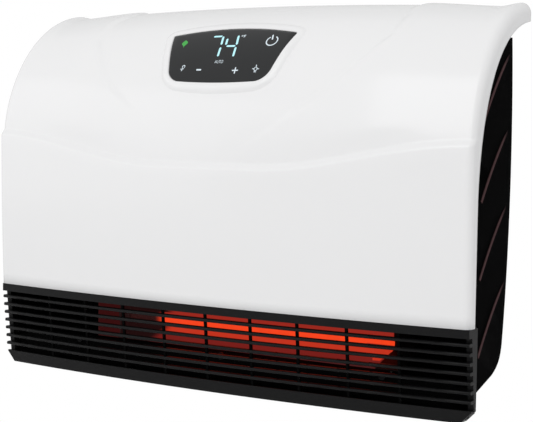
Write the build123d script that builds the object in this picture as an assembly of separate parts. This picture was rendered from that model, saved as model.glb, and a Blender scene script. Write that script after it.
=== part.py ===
from build123d import *
import math
import os

# Wall-mounted infrared heater with a fan, modelled in millimetres.
# x runs across the heater, y from the wall (zero) towards the room (negative), z up.
# Heights count from the lowest edge of the heater. The parts are written with their
# origin in the middle of the wall bracket's screw holes, on the wall.

# Shared clearances and cutting overrun
fit_gap = 0.3
running_gap = 0.05
overrun = 5.0

# Front cover: a white shell with a bulged front, a crease and a roof that reaches the wall
cover_half = 239.0
end_depth = 104.0
plan_bulge = 13.5
front_swell = 3.0
cover_top = 328.0
crown = 3.0
cover_wall = 2.6
edge_radius = 5.0
crease_middle = 188.1
crease_end_rise = 24.0
crease_flat = 50.0
crease_reach = 240.0
crease_run = 7.3
crease_step = 4.3
return_depth = 8.7
return_bend = 170.0
lip_height = 15.5

# Raised wings of the cover, left and right of the display panel
wing_inner = 56.0
wing_outer = 154.0
wing_end_gap = 24.0
wing_rise = 1.7
wing_slope_share = 0.05
wing_start_share = 0.13
wing_climb_share = 0.40
wing_turn_share = 0.30
wing_climb_curve_share = 1.35
wing_turn_curve_share = 14
slant_shares = (0.0, 0.2, 0.4, 0.6, 0.75, 0.87, 0.95, 1.0)

# The two inner control points of the roof curve as shares of the depth and of the height
# above the crease's middle, at mid-width and at the ends
roof_middle_shares = ((1.002, 0.445), (0.672, 0.990))
roof_end_shares = ((0.946, 0.554), (0.566, 0.956))

# How far an inset and the wing's rise move them: back, down and by which share of the rise
roof_inset_shares = ((0.93, 0.25, 0.35), (0.35, 0.93, 1.0))
return_shares = ((0.0, 0.0), (0.01, 0.30), (0.17, 0.93), (1.0, 1.0))

# Display pod on the cover and the smoked lens in it
pod_drop = 46.0
pod_tilt_degrees = 55.4
pod_rise = 2.2
pod_rim = 6.0
lens_top_half = 61.9
lens_bottom_half = 49.8
lens_up = 28.0
lens_down = 22.0
lens_arch = 6.7
lens_sag = 2.4
lens_corner = 13.5
lens_thickness = 2.2
lens_recess = 1.0
window_half = 42.0
window_up = 23.0
window_down = 15.0

# Outlet grille: seven slats between two bands, leaning back towards its foot
grille_inset = 1.0
grille_height = 73.6
grille_lean_share = 0.1075
top_band = 6.8
bottom_band = 10.0
slat_count = 7
slat_pitch = 7.46
slat_thickness = 2.8
slat_depth = 14.0
slat_nose = 1.1
first_slat = 60.1
rib_count = 9
rib_pitch = 44.7
rib_thickness = 2.2
rib_setback = 3.0
rib_tail = 2.0
end_plate = 2.5
end_setback = 5.4
end_back = 88.0
grille_corner = 9.0
corner_ease = 0.3
skirt_wall = 2.5
skirt_rise = 29.5

# Rear housing and its side panels
panel_thickness = 2.5
body_wall = 2.5
body_gap = 26.5
roof_room = 30.0
body_low = 22.5
body_front = 84.0
top_front = 54.0
heel_gap = 36.0
heel_height = 58.0
heel_front = 55.0
heel_low = 32.0
flange_rise = 7.5
panel_underlap = 2.0
ridge_count = 4
ridge_drop_first = 11.0
ridge_pitch = 60.0
ridge_drop = 57.0
ridge_width = 2.6
ridge_height = 1.4
ridge_bend_share = 1.35

# Control points of the housing's back as shares of its gap, its height and an inset, and
# of its heel as shares of the way forwards, of the way down and of an inset
back_shares = ((1.13, 1.0, 1.0), (0.887, 0.675, 0.0), (0.98, 0.3, 0.0))
heel_shares = ((0.1, 0.4, 0.0), (0.35, 0.57, 0.7))

# Rear intake and its removable filter
intake_inset = 127.0
intake_drop = 32.0
intake_height = 90.0
filter_thickness = 3.2
filter_border = 6.0
filter_gap = 0.5
mesh_thickness = 0.8
mesh_columns = 14
mesh_rows = 6
mesh_bar = 1.6
ledge_width = 4.0
ledge_thickness = 2.0
guard_bars = 9
guard_bar = 2.4
pull_tab = 18.0

# Wall bracket with two upturned hooks
screw_drop = 30.0
bracket_half = 112.0
bracket_height = 40.0
bracket_thickness = 2.0
bracket_corner = 5.0
screw_spread = 180.0
screw_rise = 22.0
screw_hole = 2.5
hook_spacing = 140.0
hook_width = 16.0
hook_thickness = 2.5
hook_lip = 8.0
hook_gap = 1.0
lift_travel = 10.0

# Rubber bumpers low on the back
bumper_radius = 8.0
bumper_inset = 129.0
bumper_height = 92.0
bumper_plug = 4.0

# Screwed posts that join the cover and the rear housing
post_inset = 18.0
post_low = 104.0
post_top_gap = 62.0
post_radius = 4.5
post_joint = 62.0
post_bore = 1.8
screw_radius = 1.5
screw_head = 3.1
screw_head_height = 2.4
counterbore = 3.6
screw_grip = 3.0
screw_length = 18.0

# Steel heat duct, reflector and quartz heating tubes
duct_left_inset = 98.0
duct_right_inset = 71.0
duct_front = 81.0
duct_floor = 31.0
duct_back = 48.0
duct_back_floor = 41.5
duct_top = 70.5
sheet = 1.0
tube_radius = 5.0
tube_wall = 1.0
tube_left_gap = 27.0
tube_right_gap = 26.0
front_tube_depth = 71.0
front_tube_height = 52.0
rear_tube_depth = 57.5
rear_tube_height = 48.0
coil_radius = 2.2
cap_radius = 6.5
cap_length = 12.0
cap_socket = 6.0
holder_thickness = 1.2
holder_margin = 3.0
reflector_gap = 3.0

# Cross-flow blower, its scroll and its motor
wheel_depth = 67.0
wheel_height = 114.0
wheel_radius = 27.0
wheel_inner = 21.0
wheel_left_inset = 111.0
wheel_right_inset = 91.0
wheel_disc = 2.0
blade_count = 24
blade_thickness = 0.9
blade_bow = 1.2
hub_radius = 7.0
hub_length = 12.0
shaft_radius = 3.0
shaft_tail = 34.0
stub_length = 16.0
scroll_gap = 5.0
scroll_plate = 1.5
scroll_top = 150.0
motor_radius = 25.0
motor_length = 42.0
motor_boss = 9.0
motor_boss_height = 3.0
motor_plate = 2.0
motor_plate_half = 27.0
motor_gap = 34.0
bearing_length = 6.0
bearing_radius = 8.0
grommet_radius = 12.0

# Boards and controls
board_thickness = 1.6
power_inset = 25.0
power_width = 90.0
power_height = 66.0
power_drop = 42.0
power_standoff = 12.0
power_post = 3.0
board_hole = 1.6
touch_half = 48.0
touch_up = 25.0
touch_down = 17.0
touch_depth = 13.0
display_half = 24.0
display_top = 22.0
display_bottom = 2.0
display_thickness = 6.0
transformer_width = 32.0
transformer_height = 28.0
transformer_depth = 24.0
relay_width = 16.0
relay_height = 20.0
relay_depth = 15.0
capacitor_radius = 8.0
capacitor_length = 20.0
terminal_width = 30.0
terminal_height = 11.0
terminal_depth = 12.0
sink_width = 20.0
sink_height = 26.0
sink_depth = 18.0
sink_fins = 5
sink_fin = 1.6
sink_base = 3.0

# Thermal safety parts, probe and cord gland
cutout_radius = 8.0
cutout_depth = 7.0
fuse_radius = 2.2
fuse_length = 14.0
probe_radius = 2.5
probe_length = 12.0
probe_inset = 33.0
probe_height = 196.0
gland_inset = 49.0
gland_height = 96.0
gland_flange = 9.0
gland_flange_thickness = 3.0
gland_neck = 6.5
gland_bore = 3.6
gland_nut = 10.0
gland_nut_thickness = 4.0

# Values worked out from those above
cover_bottom = grille_height + fit_gap
grille_half = cover_half - grille_inset
wing_fade = cover_half - wing_end_gap
pod_height = cover_top - pod_drop
body_top = cover_top - roof_room
ridge_first = body_top - ridge_drop_first
screw_line = body_top - screw_drop
intake_half = cover_half - intake_inset
intake_high = screw_line - intake_drop
intake_low = intake_high - intake_height
bumper_spacing = 2 * (cover_half - bumper_inset)
post_x = cover_half - post_inset
post_high = body_top - post_top_gap
power_left = -cover_half + power_inset
power_right = power_left + power_width
power_high = screw_line - power_drop
power_low = power_high - power_height
duct_left = -cover_half + duct_left_inset
duct_right = cover_half - duct_right_inset
tube_left = duct_left + tube_left_gap
tube_right = duct_right - tube_right_gap
wheel_left = -cover_half + wheel_left_inset
wheel_right = cover_half - wheel_right_inset
scroll_left = wheel_left - scroll_gap
scroll_right = wheel_right + scroll_gap
motor_left = wheel_left - motor_gap
gland_x = cover_half - gland_inset
probe_x = cover_half - probe_inset
panel_outer = cover_half - cover_wall - fit_gap
panel_inner = panel_outer - panel_thickness


def block(x0, x1, y0, y1, z0, z1):
    """Box between two corners."""
    corner = Plane(origin=(x0, y0, z0))
    return Solid.make_box(x1 - x0, y1 - y0, z1 - z0, corner)


def rod_x(y, z, radius, x0, x1):
    """Cylinder along x."""
    base = Plane(origin=(x0, y, z), z_dir=(1, 0, 0))
    return Solid.make_cylinder(radius, x1 - x0, base)


def rod_y(x, z, radius, y_back, y_front):
    """Cylinder along y, from its wall end to its room end."""
    base = Plane(origin=(x, y_back, z), z_dir=(0, -1, 0))
    return Solid.make_cylinder(radius, y_back - y_front, base)


def prism_x(sketch, x0, x1):
    """Solid with a (y, z) outline between two values of x."""
    return extrude(Plane.YZ.offset(x0) * sketch, amount=x1 - x0)


def prism_y(sketch, y_back, y_front):
    """Solid with an (x, z) outline between two values of y."""
    return extrude(Plane.XZ.offset(-y_back) * sketch, amount=y_back - y_front)


def prism_z(sketch, z0, z1):
    """Solid with an (x, y) outline between two heights."""
    return extrude(Plane.XY.offset(z0) * sketch, amount=z1 - z0)


def rectangle(a0, a1, b0, b1):
    """Flat rectangle between two corners."""
    return Pos((a0 + a1) / 2, (b0 + b1) / 2) * Rectangle(a1 - a0, b1 - b0)


def mirrored(solid):
    """The same piece on the other side of the heater."""
    return solid.mirror(Plane.YZ)


def one(shape):
    """The only solid of a shape."""
    return shape.solids()[0] if len(shape.solids()) == 1 else shape


# The cover's surface

def plan_share(x):
    """One at mid-width, zero at the ends."""
    return 1 - (x / cover_half) ** 2


def front_depth(x):
    """Depth of the cover's lower front at x."""
    return end_depth + plan_bulge * plan_share(x)


def crease_height(x):
    """Height of the crease's lower edge at x."""
    share = max(0.0, abs(x) - crease_flat) / (crease_reach - crease_flat)
    return crease_middle + crease_end_rise * math.sin(math.pi / 2 * share) ** 2


def mix(a, b, share):
    """Point between two points."""
    return tuple(p + (q - p) * share for p, q in zip(a, b))


def roof_points(x, inset, rise):
    """Control points of the curve from the crease to the wall."""
    depth = front_depth(x) + front_swell - crease_step
    base = crease_middle + crease_run
    high = cover_top + crown * plan_share(x)
    points = [(-depth + inset, crease_height(x) + crease_run)]
    for end, middle, moves in zip(roof_end_shares, roof_middle_shares, roof_inset_shares):
        depth_share, height_share = mix(end, middle, plan_share(x))
        back, down, lift = moves
        y = -depth * depth_share + (inset - rise * lift) * back
        z = base + (high - base) * height_share - (inset - rise * lift) * down
        points.append((y, z))
    return points + [(0.0, high - inset + rise)]


def curve_part(points, start, end):
    """Control points of a cubic curve's stretch between two of its parameters."""
    def upto(p, t):
        first = [mix(p[i], p[i + 1], t) for i in range(3)]
        second = [mix(first[i], first[i + 1], t) for i in range(2)]
        return [p[0], first[0], second[0], mix(second[0], second[1], t)]
    head = upto(points, end)
    tail = upto(head[::-1], 1 - start / end)
    return tail[::-1]


def section(x, paths):
    """Flat section at x, from straight and curved runs of (y, z) points."""
    edges = []
    for path in paths:
        spots = [Vector(x, y, z) for y, z in path]
        edges.append(Edge.make_line(*spots) if len(spots) == 2 else Edge.make_bezier(*spots))
    return Face(Wire(edges))


def wing_share(x):
    """How far x lies across the wing's slanting edge."""
    return (abs(x) - wing_inner) / (wing_outer - wing_inner)


def wing_edge(x):
    """Parameter of the roof curve where the wing ends and the display panel starts."""
    climb = wing_climb_share * wing_share(x) ** wing_climb_curve_share
    return wing_start_share + climb + wing_turn_share * wing_share(x) ** wing_turn_curve_share


def wing_height(x):
    """Rise of the wing above the plain surface."""
    if abs(x) <= wing_outer:
        return wing_rise * math.sin(math.pi / 2 * wing_share(x))
    return wing_rise * max(0.0, 1 - (abs(x) - wing_outer) / (wing_fade - wing_outer))


def cover_section(x, inset, bottom, back, rise=0.0, split=False):
    """Section of the cover's outside, moved inwards by an inset."""
    front = -front_depth(x) + inset
    swollen = front - front_swell
    crease = crease_height(x)
    plain = roof_points(x, inset, 0.0)
    raised = roof_points(x, inset, rise)
    paths = [[(back, bottom), (front, bottom)]]
    paths.append([(front, bottom), (swollen, (bottom + crease) / 2), (swollen, crease)])
    paths.append([(swollen, crease), plain[0]])
    if split:
        edge = wing_edge(x)
        wing = curve_part(raised, 0.0, edge)
        panel = curve_part(plain, edge + wing_slope_share, 1.0)
        paths += [wing, [wing[-1], panel[0]], panel]
        top = panel[-1]
    else:
        paths.append(raised)
        top = raised[-1]
    if back > 0:
        paths.append([top, (back, top[1])])
    paths.append([(back, top[1]), (back, bottom)])
    return section(x, paths)


def span(low, high, steps):
    """Evenly spaced values from low to high."""
    return [low + (high - low) * i / steps for i in range(steps + 1)]


def cap(inset, bottom, back):
    """Rounded right end of the cover's outside."""
    radius = edge_radius - inset
    faces = []
    for angle in span(0.0, math.pi / 2, 4):
        x = cover_half - edge_radius + radius * math.sin(angle)
        faces.append(cover_section(x, edge_radius - radius * math.cos(angle), bottom, back))
    return loft(faces)


def plain_block(inset, reach, steps, bottom, back):
    """Body under the cover's plain surface, without wings."""
    return loft([cover_section(x, inset, bottom, back) for x in span(-reach, reach, steps)])


def winged_block():
    """Body under the cover's outside with its two wings and rounded ends."""
    start = cover_half - edge_radius
    middle = [cover_section(x, 0.0, cover_bottom, 0.0) for x in span(-wing_inner, wing_inner, 4)]
    slant = []
    for share in slant_shares:
        x = wing_inner + (wing_outer - wing_inner) * share
        slant.append(cover_section(x, 0.0, cover_bottom, 0.0, wing_height(x), split=True))
    outer = []
    for x in span(wing_outer, wing_fade, 3) + [start]:
        outer.append(cover_section(x, 0.0, cover_bottom, 0.0, wing_height(x)))
    right = loft(slant) + loft(outer) + cap(0.0, cover_bottom, 0.0)
    return loft(middle) + right + mirrored(right)


def return_points(shift):
    """Control points of the side edge's curve, moved forwards by a shift."""
    depth = end_depth - return_depth
    high = cover_top - lip_height
    points = []
    for back_share, up_share in return_shares:
        y = -depth * (1 - back_share) - shift * (1 - back_share)
        z = return_bend + (high - return_bend) * up_share + shift * up_share
        points.append((y, z))
    return points


def side_region(shift, bottom, back):
    """Flat (y, z) outline of all that lies behind the cover's side edge."""
    curve = return_points(shift)
    front = curve[0][0]
    top = curve[-1][1]
    lines = Polyline(curve[-1], (back, top), (back, bottom), (front, bottom), curve[0])
    return make_face(Curve() + [Bezier(*curve), lines])


# The display pod

def pod_plane():
    """Plane on the cover's surface in the middle of the display, facing outwards."""
    curve = roof_points(0.0, 0.0, 0.0)
    low, high = 0.0, 1.0
    while high - low > 0.0001:
        middle = (low + high) / 2
        if curve_part(curve, 0.0, middle)[-1][1] < pod_height:
            low = middle
        else:
            high = middle
    y, z = curve_part(curve, 0.0, low)[-1]
    tilt = math.radians(pod_tilt_degrees)
    return Plane(origin=(0, y, z), x_dir=(1, 0, 0), z_dir=(0, -math.sin(tilt), math.cos(tilt)))


def lens_outline(grow):
    """Lens outline in the pod's plane, grown evenly by an amount."""
    top = lens_up + grow
    low = -lens_down - grow
    wide = lens_top_half + grow
    narrow = lens_bottom_half + grow
    arch = ThreePointArc((-wide, top), (0, top + lens_arch), (wide, top))
    right = Line((wide, top), (narrow, low))
    sag = ThreePointArc((narrow, low), (0, low - lens_sag), (-narrow, low))
    left = Line((-narrow, low), (-wide, top))
    face = make_face(Curve() + [arch, right, sag, left])
    corners = face.vertices().sort_by(Axis.Y)[:2]
    return fillet(corners, lens_corner + grow)


def pod_prism(outline, low, high):
    """Solid with an outline in the pod's plane, between two heights above it."""
    plane = pod_plane()
    return extrude(plane.offset(low) * outline, amount=high - low)


def pod_body(inset):
    """Body under the plain surface near the display."""
    reach = lens_top_half + 2 * pod_rim + overrun
    return plain_block(inset, reach, 6, cover_bottom, 0.0)


def pod_reach():
    """How far pod cuts run above and below the pod's plane."""
    return 2 * lens_up


def pocket_inset():
    """Inset of the ledge that the lens lies on."""
    return lens_thickness - lens_recess + fit_gap


def front_cover():
    """White cover with wings, pod, display pocket, bosses and open back."""
    shell = winged_block()
    rim = pod_body(-pod_rise) & pod_prism(lens_outline(pod_rim), -pod_reach(), pod_reach())
    shell = shell + rim
    cavity = plain_block(cover_wall, cover_half - edge_radius, 10, -overrun, overrun)
    end_cavity = cap(cover_wall, -overrun, overrun)
    shell = shell - cavity - end_cavity - mirrored(end_cavity)
    behind = prism_x(side_region(0.0, -overrun, overrun), -2 * cover_half, 2 * cover_half)
    shell = shell - behind
    pocket = pod_body(-pod_rise - overrun) - pod_body(pocket_inset())
    pocket = pocket & pod_prism(lens_outline(fit_gap), -pod_reach(), pod_reach())
    shell = shell - pocket
    window = rectangle(-window_half, window_half, -window_down, window_up)
    shell = shell - pod_prism(window, -pod_reach(), pod_reach())
    for x, z in post_places():
        shell = shell + cover_boss(x, z)
    for x, v in touch_corners():
        shell = shell + touch_boss(x, v)
    return shell


def cover_boss(x, z):
    """Screw boss from the cover's inside back to the housing's post."""
    solid = rod_y(x, z, post_radius, -post_joint, -2 * end_depth)
    solid = solid & plain_block(cover_wall / 2, cover_half - edge_radius, 10, 0.0, 0.0)
    return solid - rod_y(x, z, screw_radius + running_gap, -post_joint + overrun,
                         -post_joint - screw_length)


def touch_corners():
    """Places of the touch board's bosses in the pod's plane."""
    edge = touch_half - power_post - board_hole
    levels = (touch_up - power_post, -touch_down + power_post)
    return [(side * edge, v) for side in (-1, 1) for v in levels]


def touch_boss(x, v):
    """Boss from the cover's inside down to the touch board."""
    plane = pod_plane()
    base = Plane(origin=plane.from_local_coords((x, v, -touch_depth)), z_dir=plane.z_dir)
    post = Solid.make_cylinder(power_post, pod_reach(), base)
    core = pod_body((cover_wall + pocket_inset()) / 2)
    return post & core


def display_lens():
    """Smoked window that lies in the pod."""
    body = pod_body(-lens_recess) - pod_body(-lens_recess + lens_thickness)
    return body & pod_prism(lens_outline(0.0), -pod_reach(), pod_reach())


def touch_board():
    """Board with the touch keys, under the lens."""
    outline = rectangle(-touch_half, touch_half, -touch_down, touch_up)
    high = -touch_depth - fit_gap
    return pod_prism(outline, high - board_thickness, high)


def display_module():
    """Digit module on the touch board."""
    outline = rectangle(-display_half, display_half, display_bottom, display_top)
    low = -touch_depth - fit_gap
    return pod_prism(outline, low, low + display_thickness)


# The outlet grille

def grille_front(x, z):
    """Depth of the slat noses at x and height z."""
    share = 1 - (x / grille_half) ** 2
    return end_depth + plan_bulge * share - grille_lean_share * (grille_height - z)


def grille_arc(z, inset):
    """Front arc of the grille in plan at a height, moved back by an inset."""
    end = (grille_half, -grille_front(grille_half, z) + inset)
    middle = (0, -grille_front(0, z) + inset)
    return ThreePointArc((-end[0], end[1]), middle, end)


def grille_strip(z, front_inset, back_inset, height):
    """Curved strip of the grille between two insets."""
    front = grille_arc(z, front_inset)
    back = grille_arc(z, back_inset)
    left = Line(front @ 0, back @ 0)
    right = Line(front @ 1, back @ 1)
    return prism_z(make_face(Curve() + [front, right, back, left]), z, z + height)


def slat(z):
    """One slat with a rounded nose."""
    solid = grille_strip(z, 0.0, slat_depth, slat_thickness)
    noses = solid.edges().filter_by(GeomType.CIRCLE).group_by(Axis.Y)[0]
    return fillet(noses, slat_nose)


def grille_rib(x):
    """Upright rib behind the slat noses."""
    low, high = skirt_wall, grille_height - skirt_wall
    front_low = -grille_front(x, low) + rib_setback
    front_high = -grille_front(x, high) + rib_setback
    depth = slat_depth - rib_setback + rib_tail
    outline = make_face(Polyline((front_low, low), (front_high, high), (front_high + depth, high),
                                 (front_low + depth, low), close=True))
    return prism_x(outline, x - rib_thickness / 2, x + rib_thickness / 2)


def grille_end():
    """Right end plate, set back from the slat noses."""
    low, high = 0.0, grille_height
    front_low = -grille_front(grille_half, low) + end_setback
    front_high = -grille_front(grille_half, high) + end_setback
    back = -body_front - fit_gap
    corners = ((front_low, low), (front_high, high), (back, high), (back, low))
    outline = make_face(Polyline(*corners, close=True))
    return prism_x(outline, grille_half - 2 * end_plate, grille_half)


def grille_step():
    """Step cut from the grille's right end behind its end plate."""
    low, high = -overrun, grille_height + overrun
    return block(grille_half - end_plate, grille_half + overrun, -end_back, 0.0, low, high)


def skirt():
    """Floor and back wall that close the grille below the rear housing."""
    back = -body_front - fit_gap
    arc = grille_arc(0.0, 0.0)
    sides = Polyline(arc @ 1, (grille_half, back), (-grille_half, back), arc @ 0)
    floor = prism_z(make_face(Curve() + [arc, sides]), 0.0, skirt_wall)
    wall = block(-grille_half, grille_half, back - skirt_wall, back, 0.0, skirt_rise)
    return floor + wall


def outlet_grille():
    """Black grille in one piece: bands, slats, ribs, end plates and skirt."""
    solid = grille_strip(grille_height - top_band, 0.0, slat_depth, top_band)
    solid = solid + grille_strip(0.0, 0.0, skirt_wall, bottom_band) + skirt()
    for i in range(slat_count):
        solid = solid + slat(first_slat - i * slat_pitch)
    for i in range(rib_count):
        solid = solid + grille_rib((i - (rib_count - 1) / 2) * rib_pitch)
    solid = solid + grille_end() + mirrored(grille_end())
    solid = solid - grille_step() - mirrored(grille_step())
    half = grille_half + corner_ease
    outline = rectangle(-half, half, -corner_ease, grille_height)
    outline = fillet(outline.vertices().group_by(Axis.Y)[0], grille_corner)
    solid = solid & prism_y(outline, 0.0, -2 * end_depth)
    for x in grille_screw_places():
        solid = solid - rod_y(x, grille_screw_height(), post_bore, 0.0, -body_front - overrun)
    return solid


def grille_screw_places():
    """Places of the grille's screws across the heater."""
    return (-rib_pitch * 3.5, 0.0, rib_pitch * 3.5)


def grille_screw_height():
    """Height of the grille's screws."""
    return (body_low + body_wall + skirt_rise) / 2


# The rear housing and the side panels

def back_paths(inset):
    """Back and heel of the housing as two cubic runs, moved inwards by an inset."""
    drop = heel_height - body_low
    tall = body_top - heel_height
    reach = heel_front - heel_gap
    start = (-heel_gap - inset, heel_height)
    back = []
    for gap_share, up_share, in_share in back_shares:
        y = -body_gap * gap_share - inset
        back.append((y, heel_height + tall * up_share - inset * in_share))
    heel = [start]
    for front_share, down_share, in_share in heel_shares:
        y = -heel_gap - inset - reach * front_share
        heel.append((y, heel_height - drop * down_share + inset * in_share))
    return back + [start], heel + [(-heel_front, heel_low + inset)]


def body_outline(inset, beyond):
    """Flat (y, z) outline of the housing, its open edge moved forwards by a length."""
    back, heel = back_paths(inset)
    spots = [heel[-1], (-body_front, body_low + inset)]
    if beyond > 0:
        spots.append((-body_front - beyond, body_low + inset))
    spots += [(-body_front - beyond, body_top - inset), back[0]]
    return make_face(Curve() + [Bezier(*back), Bezier(*heel), Polyline(*spots)])


def back_wall(z):
    """Outer face of the housing's back wall at a height."""
    back, heel = back_paths(0.0)
    low, high = 0.0, 1.0
    while high - low > 0.0001:
        middle = (low + high) / 2
        if curve_part(back, 0.0, middle)[-1][1] > z:
            low = middle
        else:
            high = middle
    return curve_part(back, 0.0, high)[-1][0]


def post_places():
    """Places of the posts that join the cover and the housing."""
    return [(side * post_x, z) for side in (-1, 1) for z in (post_low, post_high)]


def power_corners():
    """Places of the power board's posts."""
    inset = power_post + board_hole
    return [(x, z) for x in (power_left + inset, power_right - inset)
            for z in (power_low + inset, power_high - inset)]


def power_plane():
    """Depth of the power board's back face."""
    return -body_gap - body_wall - power_standoff


def intake_ledge():
    """Depth of the ledge that the filter rests on."""
    return back_wall(intake_low) - filter_thickness - fit_gap


def intake_frame():
    """Ledge and guard bars inside the intake."""
    front = intake_ledge() - ledge_thickness
    back = back_wall(intake_high) - body_wall / 2
    outer = rectangle(-intake_half - body_wall, intake_half + body_wall,
                      intake_low - body_wall, intake_high + body_wall)
    opening = rectangle(-intake_half, intake_half, intake_low, intake_high)
    inner = rectangle(-intake_half + ledge_width, intake_half - ledge_width,
                      intake_low + ledge_width, intake_high - ledge_width)
    frame = prism_y(outer - opening, back, front)
    ledge = prism_y(opening - inner, intake_ledge(), front)
    frame = frame + ledge
    pitch = 2 * intake_half / (guard_bars + 1)
    for i in range(guard_bars):
        x = -intake_half + (i + 1) * pitch
        bar = rectangle(x - guard_bar / 2, x + guard_bar / 2, intake_low, intake_high)
        frame = frame + prism_y(bar, intake_ledge(), front)
    return frame


def hook_slot(x):
    """Slot in the back wall for one bracket hook, with room for lifting off."""
    half = hook_width / 2 + hook_gap
    low = screw_line - hook_thickness - lift_travel - hook_gap
    return block(x - half, x + half, -2 * body_gap, 0.0, low, screw_line + fit_gap)


def duct_floor_at(depth):
    """Height of the duct's floor at a depth from the wall."""
    share = (duct_front - depth) / (duct_front - duct_back)
    return duct_floor + (duct_back_floor - duct_floor) * share


def duct_support(x):
    """Rib from the housing's floor up to the heat duct."""
    half = body_wall / 2
    high = [(-duct_front, duct_floor - fit_gap),
            (-heel_front, duct_floor_at(heel_front) - fit_gap)]
    low = [(-heel_front, heel_low + half), (-duct_front, body_low + half)]
    return prism_x(make_face(Polyline(*high, *low, close=True)), x - half, x + half)


def rear_housing():
    """Black tub behind the cover, with intake, hook slots, posts and ribs."""
    shell = body_outline(0.0, 0.0) - body_outline(body_wall, overrun)
    solid = prism_x(shell, -panel_inner, panel_inner)
    clear = block(-cover_half, cover_half, -2 * end_depth, -top_front, heel_height, cover_top)
    solid = solid - clear
    flange = block(-panel_inner, panel_inner, -body_front, -body_front + body_wall,
                   body_low, body_low + flange_rise)
    solid = solid + flange
    intake = rectangle(-intake_half, intake_half, intake_low, intake_high)
    solid = solid - prism_y(intake, 0.0, -2 * body_gap)
    solid = solid + intake_frame()
    for x in (-hook_spacing / 2, hook_spacing / 2):
        solid = solid - hook_slot(x)
    for x in (duct_left / 2, 0.0, duct_right / 2):
        solid = solid + duct_support(x)
    for x, z in post_places():
        back = back_wall(z)
        solid = solid + rod_y(x, z, post_radius + body_wall / 2, back - body_wall / 2, -post_joint)
        bore = rod_y(x, z, post_bore, 0.0, -post_joint - overrun)
        solid = solid - (bore + rod_y(x, z, counterbore, 0.0, -post_joint + screw_grip))
    for x, z in power_corners():
        solid = solid + rod_y(x, z, power_post, back_wall(z) - body_wall / 2, power_plane())
    for x in (-bumper_spacing / 2, bumper_spacing / 2):
        solid = solid - rod_y(x, bumper_height, bumper_plug + fit_gap, 0.0, -2 * body_gap)
    solid = solid - rod_y(gland_x, gland_height, gland_neck + fit_gap, 0.0, -2 * body_gap)
    for z in (motor_foot_low(), motor_foot_high()):
        back = back_wall(z) - body_wall / 2
        solid = solid + rod_y(motor_foot_x(), z, power_post, back, motor_foot_depth())
    bore = screw_radius + running_gap
    for x in grille_screw_places():
        solid = solid - rod_y(x, grille_screw_height(), bore, 0.0, -body_front - overrun)
    return solid


def ridge(level):
    """One slanting ridge on the right side panel."""
    back = -body_gap - body_wall
    reach = body_front - body_gap - body_wall
    spots = []
    for share in span(0.0, 1.0, 4):
        spots.append((back - reach * share, level - ridge_drop * share ** ridge_bend_share))
    path = trace(Spline(*spots), line_width=ridge_width)
    return prism_x(path, panel_outer - panel_thickness / 2, panel_outer + ridge_height)


def side_panel():
    """Right side panel: outline, slanting ridges and underlap below the cover."""
    back, heel = back_paths(0.0)
    curve = return_points(panel_underlap)
    edge = curve[0][0]
    lines = Polyline(heel[-1], (-body_front, body_low), (-body_front, cover_bottom + fit_gap),
                     (edge, cover_bottom + fit_gap), curve[0])
    top = curve_until(curve, back[0][1])
    roof = Line(top[-1], back[0])
    outline = make_face(Curve() + [Bezier(*back), Bezier(*heel), lines, Bezier(*top), roof])
    solid = prism_x(outline, panel_inner, panel_outer)
    zone = prism_x(outline, panel_inner, panel_outer + ridge_height)
    hidden = prism_x(side_region(-fit_gap, -overrun, overrun), panel_inner, 2 * cover_half)
    for i in range(ridge_count):
        solid = solid + (ridge(ridge_first - i * ridge_pitch) & zone & hidden)
    return solid


def curve_until(points, height):
    """Part of a rising curve up to a height."""
    low, high = 0.0, 1.0
    while high - low > 0.0001:
        middle = (low + high) / 2
        if curve_part(points, 0.0, middle)[-1][1] < height:
            low = middle
        else:
            high = middle
    return curve_part(points, 0.0, low)


# The removable filter

def filter_outline(inset):
    """Flat (x, z) outline of the filter, moved inwards by an inset."""
    edge = filter_gap + inset
    return rectangle(-intake_half + edge, intake_half - edge, intake_low + edge, intake_high - edge)


def filter_frame():
    """Frame of the washable filter with a pull tab."""
    front = intake_ledge() + fit_gap
    back = front + filter_thickness
    frame = prism_y(filter_outline(0.0) - filter_outline(filter_border), back, front)
    low = intake_low + filter_gap
    tab = block(-pull_tab, pull_tab, back, back + filter_border, low, low + mesh_bar * 2)
    return frame + tab


def filter_mesh():
    """Net of the filter, one flat piece with its gaps."""
    net = filter_outline(filter_border)
    wide = 2 * (intake_half - filter_gap - filter_border)
    tall = intake_high - intake_low - 2 * (filter_gap + filter_border)
    cell_x = (wide - mesh_bar) / mesh_columns
    cell_z = (tall - mesh_bar) / mesh_rows
    hole = Rectangle(cell_x - mesh_bar, cell_z - mesh_bar)
    middle = (intake_low + intake_high) / 2
    net = net - Pos(0, middle) * GridLocations(cell_x, cell_z, mesh_columns, mesh_rows) * hole
    front = intake_ledge() + fit_gap + (filter_thickness - mesh_thickness) / 2
    return prism_y(net, front + mesh_thickness, front)


# The wall bracket and the bumpers

def wall_bracket():
    """Steel plate on the wall with two upturned hooks and four screw holes."""
    half = bracket_height / 2
    outline = rectangle(-bracket_half, bracket_half, screw_line - half, screw_line + half)
    outline = fillet(outline.vertices(), bracket_corner)
    centre = Pos(0, screw_line)
    outline = outline - centre * GridLocations(screw_spread, screw_rise, 2, 2) * Circle(screw_hole)
    solid = prism_y(outline, 0.0, -bracket_thickness)
    reach = back_wall(screw_line + hook_lip) - body_wall - hook_gap
    for x in (-hook_spacing / 2, hook_spacing / 2):
        left, right = x - hook_width / 2, x + hook_width / 2
        arm = block(left, right, reach - hook_thickness, -bracket_thickness / 2,
                    screw_line - hook_thickness, screw_line)
        lip = block(left, right, reach - hook_thickness, reach,
                    screw_line - hook_thickness, screw_line + hook_lip)
        solid = solid + arm + lip
    return solid


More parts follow.
